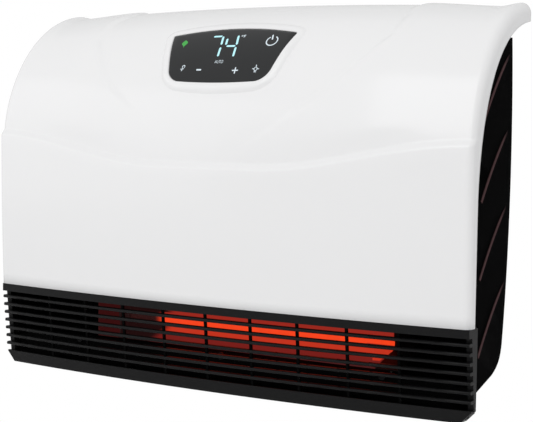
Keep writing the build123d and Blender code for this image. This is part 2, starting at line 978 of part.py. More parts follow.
def wall_bumpers():
    """Two rubber bumpers that keep the heater's foot off the wall."""
    wall = back_wall(bumper_height + bumper_radius)
    solids = []
    for x in (-bumper_spacing / 2, bumper_spacing / 2):
        pad = rod_y(x, bumper_height, bumper_radius, 0.0, wall + fit_gap)
        plug = rod_y(x, bumper_height, bumper_plug, wall + fit_gap, wall - 2 * body_wall)
        solids.append(pad + plug)
    return group(solids)


def group(solids):
    """Several separate solids in one node."""
    return Compound([one(solid) for solid in solids])


def screw_y(x, z, seat, length):
    """Screw that runs towards the room, its head behind the seat."""
    head = rod_y(x, z, screw_head, seat + screw_head_height, seat)
    return head + rod_y(x, z, screw_radius, seat, seat - length)


def housing_screws():
    """Four screws through the housing's posts into the cover's bosses."""
    seat = -post_joint + screw_grip
    return group([screw_y(x, z, seat, screw_length) for x, z in post_places()])


def grille_screws():
    """Screws through the grille's back wall into the housing's flange."""
    seat = -body_front - fit_gap - skirt_wall
    solids = []
    for x in grille_screw_places():
        z = grille_screw_height()
        head = rod_y(x, z, screw_head, seat, seat - screw_head_height)
        solids.append(head + rod_y(x, z, screw_radius, seat + screw_length / 2, seat))
    return group(solids)


# Heat duct, tubes and safety parts

def heat_duct():
    """Folded steel duct, open to the blower above and to the grille in front."""
    outer = make_face(Polyline((-duct_front, duct_floor), (-duct_back, duct_back_floor),
                               (-duct_back, duct_top), (-duct_front, duct_top), close=True))
    mouth = -duct_front - overrun
    back = -duct_back - sheet
    low, high = duct_floor + sheet, duct_top + overrun
    inner = make_face(Polyline((mouth, low), (-duct_front, low), (back, duct_back_floor + sheet),
                               (back, high), (mouth, high), close=True))
    solid = prism_x(outer, duct_left, duct_right)
    return solid - prism_x(inner, duct_left + sheet, duct_right - sheet)


def tube_places():
    """Depth and height of each heating tube."""
    return ((rear_tube_depth, rear_tube_height), (front_tube_depth, front_tube_height))


def quartz_tubes():
    """Two open quartz tubes."""
    solids = []
    for depth, z in tube_places():
        tube = rod_x(-depth, z, tube_radius, tube_left, tube_right)
        solids.append(tube - rod_x(-depth, z, tube_radius - tube_wall, tube_left, tube_right))
    return group(solids)


def heating_coils():
    """Heating elements inside the tubes, ending in the ceramic caps."""
    return group([rod_x(-depth, z, coil_radius, tube_left - fit_gap, tube_right + fit_gap)
                  for depth, z in tube_places()])


def ceramic_caps():
    """Ceramic caps on both ends of each tube."""
    solids = []
    for depth, z in tube_places():
        for end, way in ((tube_left, -1), (tube_right, 1)):
            inner = end - way * cap_socket
            outer = inner + way * cap_length
            body = rod_x(-depth, z, cap_radius, min(inner, outer), max(inner, outer))
            stop = end + way * fit_gap
            bore = rod_x(-depth, z, tube_radius + fit_gap, min(inner, stop), max(inner, stop))
            solids.append(body - bore)
    return group(solids)


def tube_holders():
    """Two steel plates that carry the ceramic caps in the duct."""
    solids = []
    for end, way in ((tube_left, -1), (tube_right, 1)):
        x0 = end + way * holder_thickness
        x1 = x0 + way * holder_thickness
        low = duct_floor_at(front_tube_depth + cap_radius + holder_margin) + sheet + fit_gap
        back = duct_back + sheet + fit_gap
        front = front_tube_depth + cap_radius + holder_margin
        high = front_tube_height + cap_radius + holder_margin
        outline = make_face(Polyline((-front, low), (-back, duct_floor_at(back) + sheet + fit_gap),
                                     (-back, rear_tube_height + cap_radius),
                                     (-rear_tube_depth - cap_radius, high), (-front, high), close=True))
        for depth, z in tube_places():
            outline = outline - Pos(-depth, z) * Circle(cap_radius + fit_gap)
        solids.append(prism_x(outline, min(x0, x1), max(x0, x1)))
    return group(solids)


def heat_reflector():
    """Bright bent sheet behind the tubes."""
    top = duct_top - sheet
    back = -duct_back - sheet - fit_gap
    low = duct_floor_at(-back) + sheet + fit_gap
    bend = (back, low + reflector_gap)
    foot = (back - reflector_gap * 2, duct_floor_at(-back + reflector_gap * 2) + sheet + fit_gap)
    outer = make_face(Polyline((back, top), bend, foot, (foot[0], foot[1] + sheet),
                               (bend[0] - sheet, bend[1] + sheet / 2), (back - sheet, top), close=True))
    clear = cap_socket + fit_gap
    return prism_x(outer, tube_left + clear, tube_right - clear)


def thermal_cutout():
    """Bimetal cut-out on the duct's back."""
    z = (duct_back_floor + duct_top) / 2 + sheet
    x = duct_right - 4 * cutout_radius
    return rod_y(x, z + cutout_radius / 2, cutout_radius, -duct_back + cutout_depth, -duct_back + fit_gap)


def thermal_fuse():
    """Thermal fuse that lies on the duct's left end."""
    z = (duct_floor + duct_top) / 2
    y = -(duct_front + duct_back) / 2
    body = Plane(origin=(duct_left - fuse_radius - fit_gap, y - fuse_length / 2, z), z_dir=(0, 1, 0))
    return Solid.make_cylinder(fuse_radius, fuse_length, body)


# Blower

def wheel_blade():
    """One curved blade of the blower wheel, at the top of the wheel."""
    lean = blade_thickness * 2
    middle = (wheel_inner + wheel_radius) / 2
    outer = ThreePointArc((-lean, wheel_inner), (blade_bow, middle), (lean, wheel_radius))
    inner = ThreePointArc((-lean + blade_thickness, wheel_inner),
                          (blade_bow + blade_thickness, middle),
                          (lean + blade_thickness, wheel_radius))
    sides = [Line(outer @ 0, inner @ 0), Line(outer @ 1, inner @ 1)]
    return make_face(Curve() + [outer, sides[0], inner, sides[1]])


def blower_wheel():
    """Cross-flow wheel: blades between discs, a hub and a stub shaft."""
    blade = wheel_blade()
    blades = Sketch() + [Rot(0, 0, 360 / blade_count * i) * blade for i in range(blade_count)]
    centre = Pos(-wheel_depth, wheel_height)
    solid = prism_x(centre * blades, wheel_left + wheel_disc / 2, wheel_right - wheel_disc / 2)
    middle = (wheel_left + wheel_right) / 2
    rim = wheel_radius + blade_thickness
    for x in (wheel_left, middle, wheel_right - wheel_disc):
        solid = solid + rod_x(-wheel_depth, wheel_height, rim, x, x + wheel_disc)
    solid = solid + rod_x(-wheel_depth, wheel_height, hub_radius, wheel_left, wheel_left + hub_length)
    solid = solid - rod_x(-wheel_depth, wheel_height, shaft_radius, wheel_left, wheel_left + hub_length)
    return solid + rod_x(-wheel_depth, wheel_height, shaft_radius, wheel_right, wheel_right + stub_length)


def blower_shaft():
    """Motor shaft that drives the wheel."""
    return rod_x(-wheel_depth, wheel_height, shaft_radius, motor_left - shaft_tail, wheel_left + hub_length)


def scroll_sheet(points, x0, x1):
    """Bent sheet along a line of points."""
    return prism_x(trace(Polyline(*points), line_width=sheet), x0, x1)


def blower_scroll():
    """Sheet housing of the blower: rear guide, front tongue and two end plates."""
    rear = -wheel_depth + wheel_radius + 4 * sheet
    front = -wheel_depth - wheel_radius - 4 * sheet
    base = -duct_back - sheet / 2
    third = wheel_radius / 3
    half = wheel_radius / 2
    low, high = wheel_height - third, wheel_height + half
    shelf = -duct_front + sheet / 2
    guide_line = [(base, duct_top), (base, duct_top + third), (rear, low), (rear, high),
                  (rear - third, scroll_top)]
    tongue_line = [(shelf, duct_top), (shelf, duct_top + 2 * sheet),
                   (front, wheel_height - wheel_radius), (front, low)]
    guide = scroll_sheet(guide_line, scroll_left, scroll_right)
    tongue = scroll_sheet(tongue_line, scroll_left, scroll_right)
    end_line = [(-duct_front, duct_top), (-duct_back - sheet, duct_top),
                (rear + sheet / 2, low), (rear + sheet / 2, high), (rear - third, scroll_top),
                (front + half, scroll_top), (front - sheet / 2, high),
                (front - sheet / 2, wheel_height - wheel_radius)]
    end = make_face(Polyline(*end_line, close=True))
    centre = Pos(-wheel_depth, wheel_height)
    left = end - centre * Circle(hub_radius + fit_gap)
    right = end - centre * Circle(grommet_radius - fit_gap)
    plates = prism_x(left, scroll_left - scroll_plate, scroll_left)
    plates = plates + prism_x(right, scroll_right, scroll_right + scroll_plate)
    return guide + tongue + plates


def bearing_ring(outer, inner):
    """Ring outside the scroll's right end, with a running gap round its bore."""
    start = scroll_right + scroll_plate + running_gap
    end = start + bearing_length
    ring = rod_x(-wheel_depth, wheel_height, outer, start, end)
    return ring - rod_x(-wheel_depth, wheel_height, inner + running_gap, start, end)


def bearing_grommet():
    """Rubber ring that holds the bearing in the scroll's right end."""
    return bearing_ring(grommet_radius, bearing_radius)


def shaft_bearing():
    """Sleeve bearing of the wheel's stub shaft."""
    return bearing_ring(bearing_radius, shaft_radius)


def motor_foot_x():
    """Place of the motor bracket's screws across the heater."""
    return motor_left + motor_plate + 3 * power_post


def motor_foot_low():
    """Height of the motor bracket's lower screw."""
    return wheel_height - motor_plate_half + 2 * power_post


def motor_foot_high():
    """Height of the motor bracket's upper screw."""
    return wheel_height + motor_plate_half - 2 * power_post


def motor_foot_depth():
    """Depth of the motor bracket's foot."""
    return -wheel_depth + motor_plate_half + motor_plate


def motor_bracket():
    """Bent plate that carries the motor on two posts of the housing."""
    half = motor_plate_half
    outline = rectangle(-wheel_depth - half, -wheel_depth + half, wheel_height - half, wheel_height + half)
    outline = outline - Pos(-wheel_depth, wheel_height) * Circle(motor_boss + fit_gap)
    plate = prism_x(outline, motor_left, motor_left + motor_plate)
    back = motor_foot_depth() - fit_gap
    foot = block(motor_left, motor_foot_x() + 2 * power_post, back - motor_plate, back,
                 wheel_height - half, wheel_height + half)
    return plate + foot


def blower_motor():
    """Motor can with a front boss and a bore for the shaft."""
    can = rod_x(-wheel_depth, wheel_height, motor_radius, motor_left - motor_length, motor_left)
    boss = rod_x(-wheel_depth, wheel_height, motor_boss, motor_left, motor_left + motor_boss_height)
    bore = rod_x(-wheel_depth, wheel_height, shaft_radius + running_gap,
                 motor_left - shaft_tail - motor_boss_height, motor_left + motor_boss_height)
    return can + boss - bore


# Boards

def power_board():
    """Mains board on four posts of the housing."""
    back = power_plane() - fit_gap
    return block(power_left, power_right, back - board_thickness, back, power_low, power_high)


def on_power_board(x, z, width, height, depth):
    """Block that stands on the power board, by its lower left corner."""
    base = power_plane() - fit_gap - board_thickness
    return block(x, x + width, base - depth, base, z, z + height)


def transformer():
    """Small mains transformer."""
    margin = 2 * power_post
    return on_power_board(power_left + margin, power_high - margin - transformer_height,
                          transformer_width, transformer_height, transformer_depth)


def relays():
    """Two relays, one for each tube."""
    margin = 2 * power_post
    x = power_left + 2 * margin + transformer_width
    z = power_high - margin - relay_height
    pitch = relay_width + board_thickness
    return group([on_power_board(x + i * pitch, z, relay_width, relay_height, relay_depth)
                  for i in range(2)])


def filter_capacitor():
    """Round capacitor that stands on the board."""
    margin = 2 * power_post
    base = power_plane() - fit_gap - board_thickness
    return rod_y(power_left + margin + capacitor_radius, power_low + 2 * margin, capacitor_radius,
                 base, base - capacitor_length)


def terminal_block():
    """Mains terminals at the board's foot."""
    margin = 2 * power_post
    return on_power_board(power_right - margin - terminal_width, power_low + board_thickness,
                          terminal_width, terminal_height, terminal_depth)


def heat_sink():
    """Finned heat sink of the motor driver."""
    margin = 2 * power_post
    x = power_left + 2 * margin + 2 * capacitor_radius
    z = power_low + board_thickness
    solid = on_power_board(x, z, sink_width, sink_height, sink_base)
    pitch = (sink_width - sink_fin) / (sink_fins - 1)
    for i in range(sink_fins):
        solid = solid + on_power_board(x + i * pitch, z, sink_fin, sink_height, sink_depth)
    return solid


def temperature_probe():
    """Room temperature probe in its holder on the back wall."""
    wall = back_wall(probe_height) - body_wall
    return rod_y(probe_x, probe_height, probe_radius, wall - fit_gap, wall - fit_gap - probe_length)


def cord_gland():
    """Gland of the mains cord in the back wall."""
    wall = back_wall(gland_height + gland_nut)
    inner = back_wall(gland_height - gland_nut) - body_wall - fit_gap
    seat = wall + fit_gap
    flange = rod_y(gland_x, gland_height, gland_flange, seat + gland_flange_thickness, seat)
    neck = rod_y(gland_x, gland_height, gland_neck, seat, inner)
    nut = rod_y(gland_x, gland_height, gland_nut, inner, inner - gland_nut_thickness)
    return flange + neck + nut - rod_y(gland_x, gland_height, gland_bore, 0.0, -2 * body_gap)


def export(name, shape):
    """Write one part with the origin at the wall bracket."""
    placed = Pos(0, 0, -screw_line) * shape
    export_step(placed, "parts/" + name + ".step")


def main():
    os.makedirs("parts", exist_ok=True)
    right_panel = one(side_panel())
    parts = {
        "front_cover": front_cover(),
        "display_lens": display_lens(),
        "touch_board": touch_board(),
        "display_module": display_module(),
        "outlet_grille": outlet_grille(),
        "rear_housing": rear_housing(),
        "side_panel_right": right_panel,
        "side_panel_left": mirrored(right_panel),
        "filter_frame": filter_frame(),
        "filter_mesh": filter_mesh(),
        "wall_bracket": wall_bracket(),
        "wall_bumpers": wall_bumpers(),
        "housing_screws": housing_screws(),
        "grille_screws": grille_screws(),
        "heat_duct": heat_duct(),
        "heat_reflector": heat_reflector(),
        "quartz_tubes": quartz_tubes(),
        "heating_coils": heating_coils(),
        "ceramic_caps": ceramic_caps(),
        "tube_holders": tube_holders(),
        "thermal_cutout": thermal_cutout(),
        "thermal_fuse": thermal_fuse(),
        "blower_wheel": blower_wheel(),
        "blower_shaft": blower_shaft(),
        "blower_scroll": blower_scroll(),
        "bearing_grommet": bearing_grommet(),
        "shaft_bearing": shaft_bearing(),
        "motor_bracket": motor_bracket(),
        "blower_motor": blower_motor(),
        "power_board": power_board(),
        "transformer": transformer(),
        "relays": relays(),
        "filter_capacitor": filter_capacitor(),
        "terminal_block": terminal_block(),
        "heat_sink": heat_sink(),
        "temperature_probe": temperature_probe(),
        "cord_gland": cord_gland(),
    }
    for name, shape in parts.items():
        export(name, one(shape))


if __name__ == "__main__":
    main()
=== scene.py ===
"""Dresses the packed wall heater: cover, display, outlet, glow, finishes and studio."""
import math

import bmesh
import bpy
from mathutils import Matrix, Vector


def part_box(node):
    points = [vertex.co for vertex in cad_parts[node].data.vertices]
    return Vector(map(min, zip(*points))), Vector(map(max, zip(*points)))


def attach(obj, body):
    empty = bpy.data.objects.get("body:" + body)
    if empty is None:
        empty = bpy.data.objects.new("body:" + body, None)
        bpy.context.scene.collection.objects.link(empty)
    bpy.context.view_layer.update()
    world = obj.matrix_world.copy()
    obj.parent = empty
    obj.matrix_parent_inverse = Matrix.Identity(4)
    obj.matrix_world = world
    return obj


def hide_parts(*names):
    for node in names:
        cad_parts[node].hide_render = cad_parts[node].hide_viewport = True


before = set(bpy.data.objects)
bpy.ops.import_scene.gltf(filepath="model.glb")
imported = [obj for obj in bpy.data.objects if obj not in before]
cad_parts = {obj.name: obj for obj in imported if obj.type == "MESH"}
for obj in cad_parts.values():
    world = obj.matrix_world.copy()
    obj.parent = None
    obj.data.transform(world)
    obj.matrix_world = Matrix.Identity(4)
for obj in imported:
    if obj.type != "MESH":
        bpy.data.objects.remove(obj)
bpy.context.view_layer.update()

bl_info = {
    "name": "Infrared wall heater",
    "version": (1, 0, 0),
    "blender": (4, 5, 0),
    "location": "3D View > Sidebar > Heater",
    "description": "Dresses a wall-mounted infrared heater with its cover, display, glow and finishes",
    "category": "Object",
}

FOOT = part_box("outlet_grille")[0].z
MM = 0.001
MERGE = 1e-6
# Heights above the side panel's plain face where a ridge starts and where its painted highlight is full
RIDGE_START, RIDGE_FULL_HIGHLIGHT = 0.0001, 0.0008


# Settings

def maker(kind, **traits):
    """Function that makes one kind of property from its name, description and default."""
    return lambda name, description, default: kind(name=name, description=description, default=default,
                                                   **traits)


length = maker(bpy.props.FloatProperty, unit="LENGTH", precision=4)
pair = maker(bpy.props.FloatVectorProperty, size=2, unit="LENGTH", precision=4)
share = maker(bpy.props.FloatProperty, min=0.0, max=1.0, subtype="FACTOR")
number = maker(bpy.props.FloatProperty)
angle = maker(bpy.props.FloatProperty, subtype="ANGLE")
power = maker(bpy.props.FloatProperty, unit="POWER")
location = maker(bpy.props.FloatVectorProperty, size=3, subtype="TRANSLATION", precision=5)
colour = maker(bpy.props.FloatVectorProperty, size=4, min=0.0, max=1.0, subtype="COLOR")


class CoverSettings(bpy.types.PropertyGroup):
    """Sizes of the white front cover."""
    half_width: length("Half width", "From the middle to an end", 0.239)
    bottom: length("Bottom", "Height of the lower edge above the heater's foot", 0.0739)
    top: length("Top", "Height of the lip at the wall, at an end", 0.328)
    crown: length("Crown", "How much higher the lip is in the middle", 0.003)
    droop: length("Droop", "How far the lip drops towards its ends", 0.0055)
    droop_reach: length("Droop reach", "Where that drop ends", 0.215)
    flare: length("Flare", "How far the lip turns up again at an end", 0.0025)
    flare_width: length("Flare width", "Width of that turn", 0.018)
    end_depth: length("End depth", "Depth of the front's foot at an end", 0.104)
    bulge: length("Bulge", "How much deeper the front is in the middle", 0.0135)
    swell: length("Swell", "How much deeper the front is at the crease than at its foot", 0.00298)
    wall: length("Wall", "Thickness of the moulding", 0.0026)
    low_edge: length("Lower edge radius", "Rounding of the two ends below the crease", 0.005)
    high_edge: length("Upper edge radius", "Rounding of the two ends at the wall", 0.009)
    crease_low: length("Crease height", "Height of the crease's lower edge in the middle", 0.1881)
    crease_lift: length("Crease lift", "How much higher the crease is at the ends", 0.024)
    crease_flat: length("Crease flat", "Half the level stretch of the crease", 0.05)
    crease_reach: length("Crease reach", "Where the crease stops rising", 0.24)
    crease_run: length("Crease run", "Height of the crease's slope", 0.0073)
    crease_step: length("Crease step", "Depth of the crease's slope", 0.0043)
    # The four pairs hold a depth and a height
    low_end: pair("Lower pull at the ends", "Lower control point of the roof curve", (0.0972, 0.2688))
    low_middle: pair("Lower pull in the middle", "Lower control point of the roof curve", (0.1164, 0.2558))
    high_end: pair("Upper pull at the ends", "Upper control point of the roof curve", (0.0581, 0.3221))
    high_middle: pair("Upper pull in the middle", "Upper control point of the roof curve", (0.0781, 0.3296))
    wing_rise: length("Wing rise", "Height of the two wings above the display panel", 0.0017)
    wing_slope: length("Wing slope", "Width of the slope at a wing's edge", 0.009)
    wing_start: share("Wing start", "Share of its height that a wing has at its lower tip", 0.15)
    wing_foot: share("Wing foot", "Share of the roof over which a wing rises from the crease", 0.12)
    wing_tip: length("Wing tip", "Distance of that lower tip from mid-width", 0.056)
    wing_swell: length("Wing swell", "Width over which a wing gains its height", 0.09)
    wing_crest: length("Wing crest", "Where a wing starts to sink back", 0.15)
    wing_fade: length("Wing fade", "Where a wing has sunk back into the cover", 0.215)
    side_depth: length("Side depth", "Depth of the side's back edge low down", 0.0953)
    side_bend: length("Side bend", "Height where the side's back edge starts to curve", 0.17)
    lip: length("Lip", "Height of the side's end at the wall", 0.0155)


class GrilleSettings(bpy.types.PropertyGroup):
    """Sizes of the outlet grille's visible front."""
    half_width: length("Half width", "From the middle to an end", 0.238)
    height: length("Height", "From the foot to the top of the upper band", 0.0736)
    lean: share("Lean", "How far the front steps back for each step down", 0.1075)
    slat_depth: length("Slat depth", "From a slat's nose to its back", 0.005)
    low_band: length("Lower band", "Height of the lower band", 0.0101)
    top_band: length("Upper band", "Height where the upper band begins", 0.0667)
    inner_half: length("Opening", "Half the width of the opening", 0.2329)
    wall_front: length("Floor wall", "Depth of the front of the wall behind the slats", 0.0870)
    wall_top: length("Floor wall height", "Height of that wall", 0.0297)
    duct_front: length("Duct front", "Depth of what lies behind the slats above that wall", 0.080)
    # Faces deeper than this, and the narrow ribs, take the darker, duller body black: painted shade inside
    # the grille
    shaded_depth: length("Hidden depth", "Depth from which the grille's inside is dull", 0.090)
    rib: length("Rib", "Faces narrower than this belong to the upright ribs", 0.004)
    corner: length("Corner", "Cut of the two lower corners", 0.009)


class DisplaySettings(bpy.types.PropertyGroup):
    """Sizes of the smoked lens and its lit signs."""
    height: length("Height", "Height of the display's middle", 0.282)
    tilt: angle("Tilt", "How far the display leans back", math.radians(55.4))
    top_half: length("Top half width", "Half the lens's upper edge", 0.0619)
    low_half: length("Lower half width", "Half the lens's lower edge", 0.0498)
    up: length("Up", "From the middle to the upper edge", 0.028)
    down: length("Down", "From the middle to the lower edge", 0.022)
    arch: length("Arch", "Rise of the upper edge", 0.0067)
    sag: length("Sag", "Drop of the lower edge", 0.0024)
    corner: length("Corner", "Rounding of the lower corners", 0.0135)
    tip: length("Tip", "Rounding of the upper corners", 0.0012)
    low_left: length("Lower left", "How far the lower left corner is drawn in", 0.0013)
    top_left: length("Upper left", "How far the upper left corner stands out", 0.0018)
    lens_rise: length("Lens rise", "Height of the lens above the cover", 0.0012)
    sign_gap: length("Sign gap", "Height of the signs above the lens", 0.00012)
    signs_right: length("Signs right", "Shift of all signs to the right", 0.0006)
    signs_down: length("Signs down", "Shift of all signs down the lens", 0.0009)
    digits: colour("Digits", "Colour of the lit digits", (0.52, 0.93, 1.0, 1.0))
    signs: colour("Signs", "Colour of the white signs", (0.82, 0.93, 1.0, 1.0))
    leaf: colour("Leaf", "Colour of the saving sign", (0.05, 0.42, 0.065, 1.0))


class GlowSettings(bpy.types.PropertyGroup):
    """Glow of the heating tubes behind the slats, and the glow painted onto the sheet and holders round them.
    """
    # The tubes glow themselves in hot, warm, red and dim. The same colours, with low_red, faint and deep, are
    # painted onto the duct sheet and the holders as the tubes' glow falling on them; these parts do not glow.
    hot: colour("Hot", "Colour of the front heating tube", (1.0, 0.061, 0.013, 1.0))
    warm: colour("Warm", "Colour of the rear tube and the middle of the sheet", (0.515, 0.032, 0.013, 1.0))
    red: colour("Red", "Colour above the tubes", (0.305, 0.021, 0.013, 1.0))
    low_red: colour("Low red", "Colour below the tubes", (0.160, 0.012, 0.0097, 1.0))
    faint: colour("Faint", "Colour at the foot of the duct", (0.061, 0.0097, 0.0097, 1.0))
    deep: colour("Deep", "Colour of the duct beside the tubes", (0.034, 0.0042, 0.0042, 1.0))
    dim: colour("Dim", "Colour of the cold end of the tubes", (0.013, 0.0036, 0.0036, 1.0))
    tube_left: length("Tubes' left end", "Where the lit tubes begin", -0.081)
    sheet_left: length("Sheet's left end", "Where the lit sheet begins", -0.088)
    right: length("Right end", "Where the lit sheet ends", 0.1455)
    fade: length("Fade", "Width of the soft left end", 0.013)
    side: length("Side", "Where the duct's left end begins", -0.118)
    rear: length("Rear", "Depth that parts the rear tube from the front one", 0.064)
    holder: length("Holder", "Depth at which the holders' heights are measured", 0.0765)
    view_lean: share("View lean", "Rise of the view line through the slats for each step in", 0.185)


class FinishSettings(bpy.types.PropertyGroup):
    """Colours of the finishes."""
    white: colour("White", "Gloss white of the cover", (0.84, 0.84, 0.845, 1.0))
    black: colour("Black", "Satin black of the grille", (0.0035, 0.0035, 0.0038, 1.0))
    body: colour("Body", "Dull black of the body", (0.0015, 0.0015, 0.0016, 1.0))
    # Lighter tone painted on the ridge tops as their highlight, where they catch the light
    ridge: colour("Ridge", "Painted highlight of the side ridges", (0.080, 0.045, 0.047, 1.0))
    ridge_height: length("Ridge height", "How far the ridges of the CAD panels stand proud", 0.0014)
    smoke: colour("Smoke", "Smoked display lens", (0.026, 0.027, 0.028, 1.0))
    steel: colour("Steel", "Plated steel", (0.62, 0.62, 0.60, 1.0))
    board: colour("Board", "Circuit board", (0.02, 0.16, 0.06, 1.0))


class StudioSettings(bpy.types.PropertyGroup):
    """Camera and lamps."""
    camera_place: location("Camera place", "Where the camera stands", (0.67999, -1.08410, -0.03171))
    yaw: angle("Yaw", "Turn of the camera to the left", math.radians(32.540))
    pitch: angle("Pitch", "How far the camera looks down", math.radians(3.970))
    roll: angle("Roll", "Turn of the camera about its view", math.radians(0.753))
    lens: number("Lens", "Focal length in millimetres", 95.69)
    key: power("Key", "Power of the key lamp", 9.5)
    fill: power("Fill", "Power of the fill lamp", 3.0)
    world: number("World", "Strength of the room's light", 0.77)


# Material helpers

def start_material(name):
    """Plain node material and its principled shader."""
    material = bpy.data.materials.new(name)
    material.use_nodes = True
    return material, material.node_tree.nodes["Principled BSDF"]


def add_node(tree, kind, inputs=(), **traits):
    """New shader node with its traits, and its input values by name or number."""
    node = tree.nodes.new("ShaderNode" + kind)
    for trait, value in traits.items():
        setattr(node, trait, value)
    for socket, value in dict(inputs).items():
        node.inputs[socket].default_value = value
    return node


def mixed(tree, factor, low, high):
    """Colour between two colours or sockets."""
    mix = add_node(tree, "Mix", data_type="RGBA")
    tree.links.new(factor, mix.inputs[0])
    for socket, value in ((mix.inputs[6], low), (mix.inputs[7], high)):
        if isinstance(value, bpy.types.NodeSocket):
            tree.links.new(value, socket)
        else:
            socket.default_value = value
    return mix.outputs[2]


def toned(tint, part):
    """Colour made darker or lighter by a factor."""
    return [min(1.0, value * part) for value in tint[:3]] + [1.0]


def object_place(tree):
    """Sockets of the place on the object: the whole place, and its three parts."""
    place = tree.nodes.new("ShaderNodeTexCoord").outputs["Object"]
    parts = tree.nodes.new("ShaderNodeSeparateXYZ")
    tree.links.new(place, parts.inputs[0])
    return place, parts.outputs


def grain_group():
    """Node group: fine surface grain as a height, cloudy wear as a mask, and a roughness that follows it."""
    group = bpy.data.node_groups.get("Surface grain")
    if group:
        return group
    group = bpy.data.node_groups.new("Surface grain", "ShaderNodeTree")
    add = group.interface.new_socket
    for name, default in (("Grain scale", 900.0), ("Cloud scale", 30.0), ("Roughness", 0.4),
                          ("Spread", 0.08)):
        add(name=name, in_out="INPUT", socket_type="NodeSocketFloat").default_value = default
    for name in ("Height", "Cloud", "Roughness"):
        add(name=name, in_out="OUTPUT", socket_type="NodeSocketFloat")
    given = group.nodes.new("NodeGroupInput").outputs
    result = group.nodes.new("NodeGroupOutput").inputs
    place = group.nodes.new("ShaderNodeTexCoord").outputs["Object"]
    grain = add_node(group, "TexNoise", {"Detail": 4.0, "Roughness": 0.6})
    cloud = add_node(group, "TexNoise", {"Detail": 6.0})
    centred = add_node(group, "Math", {1: 0.5}, operation="SUBTRACT")
    spread = add_node(group, "Math", operation="MULTIPLY_ADD")
    for start, end in ((place, grain.inputs["Vector"]), (place, cloud.inputs["Vector"]),
                       (given["Grain scale"], grain.inputs["Scale"]),
                       (given["Cloud scale"], cloud.inputs["Scale"]),
                       (cloud.outputs["Fac"], centred.inputs[0]), (centred.outputs[0], spread.inputs[0]),
                       (given["Spread"], spread.inputs[1]), (given["Roughness"], spread.inputs[2]),
                       (grain.outputs["Fac"], result["Height"]), (cloud.outputs["Fac"], result["Cloud"]),
                       (spread.outputs[0], result["Roughness"])):
        group.links.new(start, end)
    return group


def finish(name, base, roughness, grain=900.0, depth=0.02, spread=0.08, cloud=30.0, shift=0.06, **sockets):
    """Material with a base colour that varies softly, grain in its bump and cloudy roughness."""
    material, shader = start_material(name)
    tree = material.node_tree
    surface = add_node(tree, "Group", {"Grain scale": grain, "Cloud scale": cloud, "Roughness": roughness,
                                       "Spread": spread}, node_tree=grain_group())
    bump = add_node(tree, "Bump", {"Strength": depth, "Distance": 0.3 * MM})
    tint = mixed(tree, surface.outputs["Cloud"], toned(base, 1 - shift), toned(base, 1 + shift))
    tree.links.new(tint, shader.inputs["Base Color"])
    tree.links.new(surface.outputs["Height"], bump.inputs["Height"])
    tree.links.new(bump.outputs["Normal"], shader.inputs["Normal"])
    tree.links.new(surface.outputs["Roughness"], shader.inputs["Roughness"])
    for socket, value in sockets.items():
        shader.inputs[socket.replace("_", " ")].default_value = value
    return material


def lit_sign(name, tint, strength):
    """Light of a digit or a sign behind the lens, slightly uneven."""
    material, shader = start_material(name)
    tree = material.node_tree
    surface = add_node(tree, "Group", {"Cloud scale": 260.0}, node_tree=grain_group())
    uneven = mixed(tree, surface.outputs["Cloud"], toned(tint, 0.86), tint)
    tree.links.new(uneven, shader.inputs["Emission Color"])
    shader.inputs["Base Color"].default_value = toned(tint, 0.1)
    shader.inputs["Emission Strength"].default_value = strength
    return material


# Mesh helpers

def put_in_scene(name, bm, body, material, angle=None):
    """Object from a bmesh, smooth shaded, riding on a body."""
    mesh = bpy.data.meshes.new(name)
    bm.to_mesh(mesh)
    bm.free()
    mesh.shade_smooth()
    if angle is not None:
        mesh.set_sharp_from_angle(angle=math.radians(angle))
    mesh.materials.append(material)
    piece = bpy.data.objects.new(name, mesh)
    bpy.context.scene.collection.objects.link(piece)
    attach(piece, body)
    return piece


def smooth(value):
    """Soft step from zero to one."""
    value = min(1.0, max(0.0, value))
    return value * value * (3 - 2 * value)


def blend(a, b, part):
    """Value between two values."""
    return a + (b - a) * part


def bezier(points, t):
    """Point of a cubic curve."""
    a, b, c, d = points
    u = 1 - t
    return a * u ** 3 + b * 3 * t * u ** 2 + c * 3 * t * t * u + d * t ** 3


def last_true(low, high, below):
    """Place between low and high up to which below stays true, by halving."""
    for _ in range(26):
        part = (low + high) / 2
        if below(part):
            low = part
        else:
            high = part
    return low


# The cover's surface, as depth and height at a place across the heater

def plan(cover, x):
    """One at mid-width, zero at the ends."""
    return 1 - (x / cover.half_width) ** 2


def front_depth(cover, x):
    """Depth of the front's foot."""
    return cover.end_depth + cover.bulge * plan(cover, x)


def lip_height(cover, x):
    """Height of the lip at the wall."""
    part = min(abs(x), cover.droop_reach) / cover.droop_reach
    turn = smooth((abs(x) - cover.droop_reach) / cover.flare_width)
    return cover.top + cover.crown - cover.droop * part ** 2 + cover.flare * turn


def crease_low(cover, x):
    """Height of the crease's lower edge."""
    part = (abs(x) - cover.crease_flat) / (cover.crease_reach - cover.crease_flat)
    return cover.crease_low + cover.crease_lift * math.sin(math.pi / 2 * min(1.0, max(0.0, part))) ** 2


def roof_curve(cover, x):
    """Control points of the curve from the crease to the wall."""
    part = plan(cover, x)
    depth = front_depth(cover, x) + cover.swell - cover.crease_step
    low = Vector(cover.low_end).lerp(Vector(cover.low_middle), part)
    high = Vector(cover.high_end).lerp(Vector(cover.high_middle), part)
    return (Vector((depth, crease_low(cover, x) + cover.crease_run)), low, high,
            Vector((0.0, lip_height(cover, x))))


# Height and distance from mid-width along a wing's edge, how fast it nears the middle below the
# first, and how round it is between them
WING_EDGE = ((0.2194, 0.056), (0.2244, 0.064), (0.237, 0.080), (0.2457, 0.094), (0.2544, 0.107),
             (0.2723, 0.126), (0.2862, 0.138), (0.2996, 0.150), (0.3165, 0.1525), (0.3236, 0.149))

WING_FOOT = 1.6

WING_ROUND = 0.35


